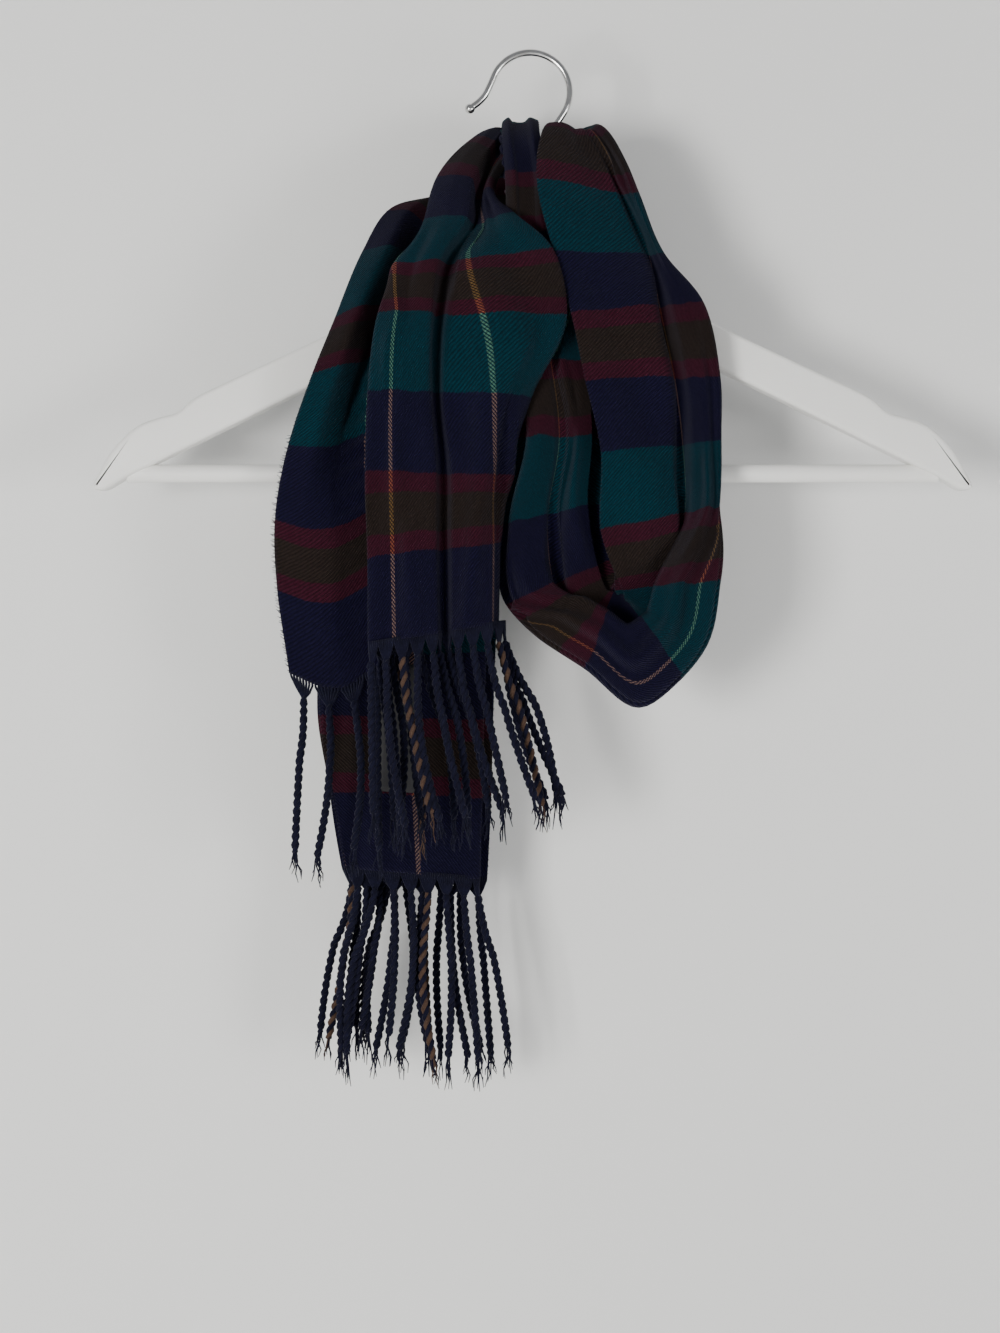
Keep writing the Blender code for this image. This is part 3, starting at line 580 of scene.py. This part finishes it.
class Strands:
    """Collects round strands, each with its place on the cloth and its shade, into one mesh."""

    def __init__(self):
        self.vertices, self.faces, self.layout = [], [], []

    def add(self, path, radii, sides, place):
        path = np.asarray(path, float)
        slopes = np.gradient(path, axis=0)
        slopes /= np.maximum(np.linalg.norm(slopes, axis=1, keepdims=True), 1e-9)
        side = np.cross(slopes[0], (0.0, 1.0, 0.3))
        first = len(self.vertices)
        for point, slope, radius in zip(path, slopes, radii):
            side = side - np.dot(side, slope) * slope
            side /= max(np.linalg.norm(side), 1e-9)
            other = np.cross(slope, side)
            for k in range(sides):
                turn = 2 * math.pi * k / sides
                self.vertices.append(point + radius * (math.cos(turn) * side + math.sin(turn) * other))
                self.layout.append(place)
        self.faces.append(tuple(first + k for k in range(sides - 1, -1, -1)))
        for i in range(len(path) - 1):
            for k in range(sides):
                a = first + i * sides + k
                b = first + i * sides + (k + 1) % sides
                self.faces.append((a, b, b + sides, a + sides))
        last = first + (len(path) - 1) * sides
        self.faces.append(tuple(last + k for k in range(sides)))

    def build(self, name, material):
        item = new_object(name, self.vertices, self.faces, material)
        add_layout(item, self.layout)
        return item


def tassel_line(root, down, tip, bow, steps):
    """The middle line of one tassel from its root to its tip."""
    points = []
    for k in range(steps + 1):
        t = k / steps
        straight = root + (tip - root) * t
        leave = down * 5.0 * MM * math.sin(math.pi * min(1.0, 2.5 * t)) * (1.0 - t)
        swing = bow * math.sin(math.pi * t)
        points.append(straight + leave + swing)
    return np.array(points)


def build_fringe(name, cloth, knot, fall, material, seed):
    """Twisted two-ply tassels along one hem, with gathered roots and frayed ends."""
    dice = random.Random(seed)
    grid, along, lengths, widths = cloth.read(np.array([knot]))
    hem, down = grid[0], along[0] * fall.outward
    reach = np.concatenate([[0.0], np.cumsum(np.linalg.norm(np.diff(hem, axis=0), axis=1))])
    low, high = hem[:, 0].min(), hem[:, 0].max()
    middle = hem.mean(axis=0)
    strands = Strands()

    def on_hem(place):
        at = np.interp(place, widths[0], reach)
        point = np.array([np.interp(at, reach, hem[:, k]) for k in range(3)])
        slope = np.array([np.interp(at, reach, down[:, k]) for k in range(3)])
        return point, slope / np.linalg.norm(slope)

    for n in range(TASSELS):
        place = (n + 0.5) / TASSELS * SCARF_WIDTH
        root, slope = on_hem(place)
        share = (root[0] - low) / (high - low)
        length = TASSEL_LENGTH * dice.uniform(0.90, 1.03)
        tip = np.array((
            (fall.left + (fall.right - fall.left) * share + dice.uniform(-5.5, 5.5)) * MM,
            middle[1] + (root[1] - middle[1]) * fall.spread + dice.uniform(-1.5, 1.5) * MM,
            root[2] - length * MM,
        ))
        start = root + slope * GATHER * MM
        bow = np.array((dice.uniform(-5.0, 5.0), dice.uniform(-1.0, 1.0), 0.0)) * MM
        line = tassel_line(start, slope, tip, bow, TASSEL_STEPS)
        slopes = np.gradient(line, axis=0)
        slopes /= np.linalg.norm(slopes, axis=1, keepdims=True)
        travel = np.concatenate([[0.0], np.cumsum(np.linalg.norm(np.diff(line, axis=0), axis=1))])
        phase = dice.uniform(0.0, 2 * math.pi)
        near_line = any(0.0 <= place - line < LINE_REACH for line in WARP_LINES)
        for ply in range(2):
            shade = 1.0 if near_line and ply == 0 else 0.0
            turn = phase + ply * math.pi + travel / (TWIST_PITCH * MM) * 2 * math.pi
            side = np.cross(slopes, (0.0, 1.0, 0.0))
            side /= np.linalg.norm(side, axis=1, keepdims=True)
            other = np.cross(slopes, side)
            path = line + PLY_OFFSET * MM * (np.cos(turn)[:, None] * side + np.sin(turn)[:, None] * other)
            radii = np.full(len(path), PLY_RADIUS * MM)
            radii[0] *= 0.7
            radii[-2] *= 0.85
            radii[-1] *= 0.6
            strands.add(path, radii, PLY_SIDES, (shade, dice.uniform(0, 1000)))
        for yarn in range(YARNS_PER_TASSEL):
            spot = place + (yarn - 3.5) / YARNS_PER_TASSEL * SCARF_WIDTH / TASSELS
            top, lead = on_hem(min(max(spot, 0.6), SCARF_WIDTH - 0.6))
            top = top - lead * 1.5 * MM
            knee = top + lead * (1.5 + GATHER * 0.45) * MM + (start - root - slope * GATHER * MM)
            end = line[3]
            path = [top, (top + knee) / 2, knee * 0.6 + start * 0.4, start * 0.7 + end * 0.3, end]
            radii = [0.55 * MM, 0.6 * MM, 0.62 * MM, 0.6 * MM, 0.3 * MM]
            strands.add(path, radii, 4, (0.0, dice.uniform(0, 1000)))
        for fray in range(FRAYS_PER_TASSEL):
            shade = 1.0 if near_line and fray % 2 else 0.0
            away = (dice.uniform(-3.2, 3.2), dice.uniform(-2.0, 2.0), -dice.uniform(6.0, 17.0))
            spread = np.array(away) * MM
            begin = line[-4] + np.array((dice.uniform(-0.7, 0.7), dice.uniform(-0.7, 0.7), 0.0)) * MM
            curl = np.array((dice.uniform(-1.2, 1.2), 0.0, 0.0)) * MM
            path = [begin, line[-1] + spread * 0.3 + curl, line[-1] + spread * 0.7 - curl, line[-1] + spread]
            radii = [0.45 * MM, 0.4 * MM, 0.32 * MM, 0.15 * MM]
            strands.add(path, radii, 4, (shade, dice.uniform(0, 1000)))
    return strands.build(name, material)


def build_selvage(grid, normal, lengths, widths, material):
    """Short loose yarn ends along both selvages."""
    dice = random.Random(7)
    strands = Strands()
    for column, inward in ((0, 1), (-1, -2)):
        edge = grid[:, column]
        out = edge - grid[:, inward]
        out /= np.linalg.norm(out, axis=1, keepdims=True)
        for i in range(len(edge) - 1):
            for _ in range(3):
                t = dice.random()
                root = edge[i] + (edge[i + 1] - edge[i]) * t - out[i] * 0.8 * MM
                way = (edge[i + 1] - edge[i]) / np.linalg.norm(edge[i + 1] - edge[i])
                frayed = column == 0 and lengths[i] < FRAYED_END
                size = (dice.uniform(1.4, 3.2) if frayed else dice.uniform(0.5, 1.3)) * MM
                end = root + out[i] * size + way * dice.uniform(-0.9, 0.9) * MM
                end = end + normal[i, column] * dice.uniform(-0.7, 0.7) * MM
                bend = (root + end) / 2 + way * dice.uniform(-0.4, 0.4) * MM
                place = (widths[i, column], lengths[i] + t)
                strands.add([root, bend, end], [0.20 * MM, 0.18 * MM, 0.10 * MM], 3, place)
    return strands.build("scarf_selvage_yarns", material)


def build_label(cloth, material):
    """A plain woven patch, made from the points of the layer below it, moved out."""
    at = np.interp(np.linspace(LABEL_START, LABEL_END, 24), cloth.lengths, cloth.knots)
    grid, along, lengths, widths = cloth.read(at)
    height = crease_heights(lengths, widths) + ripple(lengths, widths)
    grid = grid + face_normals(grid, along) * height[..., None] * MM
    layer = grid[:, :sum(FACETS[:3]) + 1]
    xs = np.linspace(LABEL_LEFT, LABEL_RIGHT, 12) * MM
    patch = np.array([
        [[np.interp(x, row[:, 0], row[:, k]) for k in range(3)] for x in xs]
        for row in layer
    ])
    patch[..., 1] -= 1.2 * MM
    normal = np.broadcast_to(np.array((0.0, -1.0, 0.0)), patch.shape)
    vertices, quads = wall_mesh(patch, normal, 0.6 * MM)
    item = new_object("label_patch", vertices, quads, material)
    face_outwards(item)
    layout = np.stack([patch[..., 0] / MM, -patch[..., 2] / MM], axis=-1).reshape(-1, 2)
    add_layout(item, np.concatenate([layout, layout]))
    return item


def inset_outline(corners, amount):
    """The outline with every edge but the closing one moved inwards."""
    corners = np.array(corners, float)
    edges = np.roll(corners, -1, axis=0) - corners
    edges /= np.linalg.norm(edges, axis=1, keepdims=True)
    inward = np.stack([-edges[:, 1], edges[:, 0]], axis=1)
    moves = np.full(len(corners), amount)
    moves[-1] = 0.0
    result = []
    for k in range(len(corners)):
        normals = np.array((inward[k - 1], inward[k]))
        if abs(np.linalg.det(normals)) < 0.02:
            result.append(corners[k] + (inward[k - 1] + inward[k]) / 2 * amount)
        else:
            result.append(corners[k] + np.linalg.solve(normals, (moves[k - 1], moves[k])))
    return np.array(result)


def rounded_outline(outline):
    """The outline with its corners drawn as short curves, but for the two in the middle."""
    corners = np.array(outline, float)
    points = [corners[0]]
    for k in range(1, len(corners) - 1):
        before, here, after = corners[k - 1], corners[k], corners[k + 1]
        back, on = before - here, after - here
        start = here + back * min(0.42, ARM_CORNER / np.linalg.norm(back))
        end = here + on * min(0.42, ARM_CORNER / np.linalg.norm(on))
        for t in (0.0, 0.25, 0.5, 0.75, 1.0):
            points.append((1 - t) ** 2 * start + 2 * t * (1 - t) * here + t**2 * end)
    points.append(corners[-1])
    return np.array(points)


def build_arm(name, side, material):
    """One painted wooden arm with softly rounded edges."""
    rings = []
    for k in range(ROUND_STEPS + 1):
        turn = math.pi / 2 * k / ROUND_STEPS
        inset = ARM_EDGE_ROUND * (1 - math.sin(turn))
        front = ARM_THICK / 2 - ARM_EDGE_ROUND * (1 - math.cos(turn))
        rings.append((front, inset))
    rings += [(-front, inset) for front, inset in reversed(rings)]
    outline = rounded_outline(ARM_OUTLINE)
    vertices = []
    for front, inset in rings:
        for x, drop in inset_outline(outline, inset):
            vertices.append(to_world((HANGER_CENTRE + side * x, drop, front)))
    count = len(outline)
    faces = [tuple(range(count)), tuple(range(len(vertices) - 1, len(vertices) - count - 1, -1))]
    for i in range(len(rings) - 1):
        for k in range(count):
            a, b = i * count + k, i * count + (k + 1) % count
            faces.append((a, a + count, b + count, b))
    item = new_object(name, vertices, faces, material)
    face_outwards(item)
    item.data.set_sharp_from_angle(angle=math.radians(50))
    return item


def build_bar(material):
    """The round bar between the two arms."""
    strands = Strands()
    xs = np.linspace(-BAR_HALF, BAR_HALF, 24)
    path = to_world([(HANGER_CENTRE + x, BAR_DROP, 0.0) for x in xs])
    strands.add(path, [BAR_RADIUS * MM] * len(path), 40, (0.0, 0.0))
    item = strands.build("hanger_bar", material)
    item.data.set_sharp_from_angle(angle=math.radians(50))
    return item


def build_hook(material):
    """The wire hook: a ball on the short limb, over the round top and down to the stem's foot."""
    limb = np.array(LIMB_LINE[0])
    way = np.array(LIMB_LINE[1]) - limb
    way /= np.linalg.norm(way)
    line, radii = [], []
    for back in (2.55, 2.3, 1.8, 1.1, 0.3, -0.6, -1.4, -1.95):
        line.append(limb - way * back)
        radii.append(max(0.4, math.sqrt(BALL_RADIUS**2 - back**2)))
    knots = [limb + way * 2.6] + [np.array(p) for p in LIMB_LINE[1:]]
    for turn in range(160, -36, -5):
        angle = math.radians(turn)
        knots.append(np.array((
            HOOK_RADIUS * math.cos(angle),
            HOOK_CENTRE_DROP - HOOK_RADIUS * math.sin(angle),
        )))
    knots += [np.array(p) for p in STEM_LINE] + [np.array((HANGER_CENTRE, STEM_FOOT))]
    knots = np.array(knots)
    reach = np.concatenate([[0.0], np.cumsum(np.linalg.norm(np.diff(knots, axis=0), axis=1))])
    fine = smooth(knots, reach, np.linspace(0.0, reach[-1], 170))
    line += list(fine)
    radii += [WIRE_RADIUS] * len(fine)
    path = to_world([(x, drop, 0.0) for x, drop in line])
    strands = Strands()
    strands.add(path, [radius * MM for radius in radii], WIRE_SIDES, (0.0, 0.0))
    item = strands.build("hanger_hook", material)
    item.data.set_sharp_from_angle(angle=math.radians(60))
    return item


# Materials

def add_node(tree, kind, **settings):
    """A node with its settings: a plain value, a link from a socket, or a property of the node."""
    node = tree.nodes.new(kind)
    for name, value in settings.items():
        if name.startswith("in_"):
            key = name[3:]
            socket = node.inputs[int(key)] if key.isdigit() else node.inputs[key.replace("_", " ")]
            if isinstance(value, bpy.types.NodeSocket):
                tree.links.new(value, socket)
            else:
                socket.default_value = value
        else:
            setattr(node, name, value)
    return node


def maths(tree, operation, first, second=0.0, third=0.0):
    """The result of one step of arithmetic."""
    node = add_node(tree, "ShaderNodeMath", operation=operation, in_0=first, in_1=second, in_2=third)
    return node.outputs[0]


def mix_node(tree, factor, first, second):
    """A blend of two colours."""
    node = add_node(tree, "ShaderNodeMix", data_type="RGBA")
    for index, value in ((0, factor), (6, first), (7, second)):
        if isinstance(value, bpy.types.NodeSocket):
            tree.links.new(value, node.inputs[index])
        else:
            node.inputs[index].default_value = value
    return node.outputs[2]


def ramp_node(tree, factor, stops, blend):
    """Colours chosen by where the factor falls between the stops."""
    node = add_node(tree, "ShaderNodeValToRGB", in_0=factor)
    ramp = node.color_ramp
    ramp.interpolation = blend
    while len(ramp.elements) < len(stops):
        ramp.elements.new(0.5)
    for element, (place, colour) in zip(ramp.elements, stops):
        element.position = place
        element.color = colour
    return node.outputs[0]


def new_material(name, roughness):
    """A material with its node tree and its shader."""
    material = bpy.data.materials.new(name)
    material.use_nodes = True
    tree = material.node_tree
    shader = tree.nodes["Principled BSDF"]
    shader.inputs["Roughness"].default_value = roughness
    return material, tree, shader


def cloth_places(tree):
    """Width and length on the cloth in millimetres, as two sockets."""
    layout = add_node(tree, "ShaderNodeUVMap", uv_map="cloth")
    split = add_node(tree, "ShaderNodeSeparateXYZ", in_0=layout.outputs[0])
    width = maths(tree, "MULTIPLY", split.outputs[0], 1000.0)
    length = maths(tree, "MULTIPLY", split.outputs[1], 1000.0)
    return layout.outputs[0], width, length


def noise(tree, vector, scale, detail=2.0, roughness=0.5):
    node = add_node(tree, "ShaderNodeTexNoise", in_Vector=vector, in_Scale=scale, in_Detail=detail)
    node.inputs["Roughness"].default_value = roughness
    return node.outputs[0]


def plaid_material():
    """Brushed twill in navy, teal, maroon and olive bands with fine speckled lines along it."""
    material, tree, shader = new_material("plaid_twill", 0.92)
    layout, width, length = cloth_places(tree)
    ragged = noise(tree, layout, 900.0, 2.0)
    ragged = maths(tree, "MULTIPLY_ADD", ragged, 2.2, -1.1)
    ragged = maths(tree, "MULTIPLY_ADD", noise(tree, layout, 30.0, 2.0), 5.0, ragged)
    ragged = maths(tree, "SUBTRACT", ragged, 2.5)
    clipped = maths(tree, "MINIMUM", maths(tree, "MAXIMUM", length, 4.0), SCARF_LENGTH - 4.0)
    shifted = maths(tree, "ADD", maths(tree, "SUBTRACT", clipped, HEM_BAND), ragged)
    repeat = maths(tree, "FRACT", maths(tree, "DIVIDE", shifted, REPEAT))
    base = ramp_node(tree, repeat, [(start / REPEAT, colour) for start, colour, _ in BANDS], "CONSTANT")
    line = ramp_node(tree, repeat, [(start / REPEAT, colour) for start, _, colour in BANDS], "CONSTANT")

    # Twill ribs run aslant, as soft ridges close together
    wobble = maths(tree, "MULTIPLY_ADD", noise(tree, layout, 160.0, 1.0), 1.4, -0.7)
    slant = maths(tree, "ADD", maths(tree, "SUBTRACT", width, length), wobble)
    rib = maths(tree, "SINE", maths(tree, "MULTIPLY", slant, 2 * math.pi / RIB_PITCH))
    rib = maths(tree, "MULTIPLY_ADD", rib, 0.5, 0.5)
    fuzz = noise(tree, layout, 2600.0, 3.0, 0.65)
    heather = noise(tree, layout, 620.0, 3.0, 0.6)
    wear = noise(tree, layout, 22.0, 3.0, 0.5)

    # The lines along the cloth are single bright yarns that dip under every second one
    speckle = maths(tree, "MULTIPLY", maths(tree, "ADD", length, width), 2 * math.pi / RIB_PITCH)
    speckle = maths(tree, "SINE", speckle)
    speckle = maths(tree, "MULTIPLY_ADD", speckle, 2.2, 0.55)
    speckle = maths(tree, "MINIMUM", maths(tree, "MAXIMUM", speckle, 0.0), 1.0)
    masks = []
    for place in WARP_LINES:
        away = maths(tree, "ABSOLUTE", maths(tree, "SUBTRACT", width, place))
        masks.append(maths(tree, "LESS_THAN", away, WARP_LINE_HALF))
    mask = maths(tree, "ADD", maths(tree, "ADD", masks[0], masks[1]), masks[2])
    mask = maths(tree, "MULTIPLY", mask, maths(tree, "MULTIPLY", speckle, 0.72))

    colour = mix_node(tree, mask, base, line)
    shade = maths(tree, "MULTIPLY_ADD", rib, 0.62, 0.62)
    shade = maths(tree, "MULTIPLY", shade, maths(tree, "MULTIPLY_ADD", heather, 1.4, 0.32))
    shade = maths(tree, "MULTIPLY", shade, maths(tree, "MULTIPLY_ADD", fuzz, 1.3, 0.36))
    shade = maths(tree, "MULTIPLY", shade, maths(tree, "MULTIPLY_ADD", wear, 0.5, 0.78))
    dark = add_node(tree, "ShaderNodeVectorMath", operation="SCALE", in_0=colour)
    tree.links.new(shade, dark.inputs["Scale"])
    tree.links.new(dark.outputs[0], shader.inputs["Base Color"])
    shader.inputs["Sheen Weight"].default_value = 0.07
    shader.inputs["Sheen Roughness"].default_value = 0.5
    shader.inputs["Sheen Tint"].default_value = (0.45, 0.45, 0.6, 1.0)
    shader.inputs["Specular IOR Level"].default_value = 0.08

    relief = maths(tree, "ADD", rib, maths(tree, "MULTIPLY", fuzz, 1.1))
    relief = maths(tree, "ADD", relief, maths(tree, "MULTIPLY", heather, 0.8))
    bump = add_node(tree, "ShaderNodeBump", in_Height=relief, in_Strength=0.7, in_Distance=0.0009)
    tree.links.new(bump.outputs[0], shader.inputs["Normal"])
    return material


def yarn_material():
    """Twisted fringe yarn: navy, and tan where a bright line of the plaid ends."""
    material, tree, shader = new_material("fringe_yarn", 0.9)
    _, shade, _ = cloth_places(tree)
    texture = add_node(tree, "ShaderNodeTexCoord")
    where = texture.outputs["Object"]
    fibres = noise(tree, where, 1500.0, 3.0, 0.6)
    mottled = noise(tree, where, 220.0, 2.0, 0.5)
    is_tan = maths(tree, "GREATER_THAN", maths(tree, "MULTIPLY", shade, 0.001), 0.0005)
    navy = mix_node(tree, mottled, (0.002, 0.0022, 0.007, 1.0), (0.009, 0.009, 0.026, 1.0))
    tan = mix_node(tree, mottled, (0.040, 0.024, 0.018, 1.0), TAN)
    colour = mix_node(tree, is_tan, navy, tan)
    dark = add_node(tree, "ShaderNodeVectorMath", operation="SCALE", in_0=colour)
    tree.links.new(maths(tree, "MULTIPLY_ADD", fibres, 1.2, 0.35), dark.inputs["Scale"])
    tree.links.new(dark.outputs[0], shader.inputs["Base Color"])
    shader.inputs["Sheen Weight"].default_value = 0.1
    shader.inputs["Sheen Tint"].default_value = (0.45, 0.45, 0.6, 1.0)
    shader.inputs["Specular IOR Level"].default_value = 0.1
    bump = add_node(tree, "ShaderNodeBump", in_Height=fibres, in_Strength=0.5, in_Distance=0.0004)
    tree.links.new(bump.outputs[0], shader.inputs["Normal"])
    return material


def label_material():
    """Plain black woven ribbon."""
    material, tree, shader = new_material("label_weave", 0.6)
    layout, _, length = cloth_places(tree)
    ribs = maths(tree, "SINE", maths(tree, "MULTIPLY", length, 2 * math.pi / LABEL_RIB_PITCH))
    grain = noise(tree, layout, 1800.0, 2.0)
    colour = mix_node(tree, grain, (0.005, 0.005, 0.007, 1.0), (0.018, 0.018, 0.022, 1.0))
    tree.links.new(colour, shader.inputs["Base Color"])
    bump = add_node(tree, "ShaderNodeBump", in_Height=ribs, in_Strength=0.3, in_Distance=0.0002)
    tree.links.new(bump.outputs[0], shader.inputs["Normal"])
    return material


def paint_material():
    """White satin paint on wood, with faint brush grain and slight soiling."""
    material, tree, shader = new_material("white_paint", 0.42)
    texture = add_node(tree, "ShaderNodeTexCoord")
    stretched = add_node(tree, "ShaderNodeMapping", in_Vector=texture.outputs["Object"])
    stretched.inputs["Scale"].default_value = (1.0, 4.0, 4.0)
    soil = noise(tree, texture.outputs["Object"], 14.0, 4.0, 0.55)
    grain = noise(tree, stretched.outputs[0], 120.0, 3.0, 0.6)
    colour = mix_node(tree, soil, (0.86, 0.85, 0.82, 1.0), (0.93, 0.93, 0.91, 1.0))
    tree.links.new(colour, shader.inputs["Base Color"])
    rough = maths(tree, "MULTIPLY_ADD", grain, 0.2, 0.34)
    tree.links.new(rough, shader.inputs["Roughness"])
    bump = add_node(tree, "ShaderNodeBump", in_Height=grain, in_Strength=0.25, in_Distance=0.0003)
    tree.links.new(bump.outputs[0], shader.inputs["Normal"])
    return material


def chrome_material():
    """Plated steel wire with light scuffs."""
    material, tree, shader = new_material("chrome_wire", 0.16)
    texture = add_node(tree, "ShaderNodeTexCoord")
    scuffs = noise(tree, texture.outputs["Object"], 260.0, 3.0, 0.6)
    colour = mix_node(tree, scuffs, (0.50, 0.49, 0.47, 1.0), (0.74, 0.74, 0.75, 1.0))
    tree.links.new(colour, shader.inputs["Base Color"])
    rough = maths(tree, "MULTIPLY_ADD", scuffs, 0.22, 0.08)
    tree.links.new(rough, shader.inputs["Roughness"])
    shader.inputs["Metallic"].default_value = 1.0
    return material


def wall_material():
    """Pale painted plaster."""
    material, tree, shader = new_material("pale_wall", 0.8)
    texture = add_node(tree, "ShaderNodeTexCoord")
    tone = noise(tree, texture.outputs["Object"], 2.2, 3.0, 0.5)
    colour = mix_node(tree, tone, (0.86, 0.86, 0.85, 1.0), (0.93, 0.93, 0.92, 1.0))
    tree.links.new(colour, shader.inputs["Base Color"])
    return material


def build_stage():
    """A pale wall close behind and a pale floor below."""
    material = wall_material()
    back, low = BACKDROP_Y, FLOOR_Z
    panels = (
        ("backdrop", [(-3, back, low), (3, back, low), (3, back, 2.0), (-3, back, 2.0)]),
        ("floor", [(-3, -3, low), (3, -3, low), (3, back, low), (-3, back, low)]),
    )
    for name, corners in panels:
        item = new_object(name, corners, [(0, 1, 2, 3)], material)


def add_area_light(name, place, size, power, colour):
    """A soft window that faces the scarf."""
    data = bpy.data.lights.new(name, "AREA")
    data.shape = "RECTANGLE"
    data.size, data.size_y = size
    data.energy = power
    data.color = colour
    lamp = bpy.data.objects.new(name, data)
    lamp.location = place
    way = np.array(LIGHT_TARGET) - np.array(place, float)
    lamp.rotation_euler = Vector(way).to_track_quat("-Z", "Y").to_euler()
    bpy.context.scene.collection.objects.link(lamp)


def build_light():
    """Two soft windows a little below the scarf, the stronger one from the left, and a dim room."""
    world = bpy.data.worlds.new("soft_room")
    world.use_nodes = True
    world.node_tree.nodes["Background"].inputs["Color"].default_value = (0.90, 0.92, 0.95, 1.0)
    world.node_tree.nodes["Background"].inputs["Strength"].default_value = 0.33
    bpy.context.scene.world = world
    add_area_light("window_left", (-1.0, -1.75, -0.50), (0.5, 0.7), 36.0, (1.0, 0.99, 0.96))
    add_area_light("window_right", (1.45, -1.45, -0.55), (0.6, 0.7), 18.0, (1.0, 0.99, 0.98))


def build_camera():
    """Straight in front of the scarf and level, a little below its middle."""
    data = bpy.data.cameras.new("view")
    data.sensor_fit = "HORIZONTAL"
    data.angle = 2 * math.atan(CAMERA_HALF_WIDTH)
    camera = bpy.data.objects.new("view", data)
    camera.location = to_world((CAMERA_X, CAMERA_DROP, CAMERA_FRONT))
    camera.rotation_euler = (math.radians(90.0), 0.0, 0.0)
    bpy.context.scene.collection.objects.link(camera)
    bpy.context.scene.camera = camera


def main():
    cloth = Cloth()
    plaid = plaid_material()
    yarn = yarn_material()
    paint = paint_material()
    scarf, grid, normal, lengths, widths = build_scarf(cloth, plaid)
    selvage = build_selvage(grid, normal, lengths, widths, plaid)
    fringe_a = build_fringe("fringe_front", cloth, cloth.knots[0], FRONT_FALL, yarn, 11)
    fringe_b = build_fringe("fringe_rear", cloth, cloth.knots[-1], REAR_FALL, yarn, 23)
    label = build_label(cloth, label_material())
    arm_left = build_arm("hanger_arm_left", -1, paint)
    arm_right = build_arm("hanger_arm_right", 1, paint)
    bar = build_bar(paint)
    hook = build_hook(chrome_material())
    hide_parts("tail_a", "neck", "loop_right", "loop_bottom", "loop_left", "crossing", "tail_b")
    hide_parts("fringe_a")
    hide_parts("fringe_b")
    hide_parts("label")
    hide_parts("arm_left")
    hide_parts("arm_right")
    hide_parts("bar")
    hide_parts("hook")
    pieces = (
        (scarf, "tail_a"),
        (selvage, "tail_a"),
        (fringe_a, "fringe_a"),
        (fringe_b, "fringe_b"),
        (label, "label"),
        (arm_left, "arm_left"),
        (arm_right, "arm_right"),
        (bar, "bar"),
        (hook, "hook"),
    )
    for piece, slot in pieces:
        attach(piece, "root")
    build_stage()
    build_light()
    build_camera()


main()
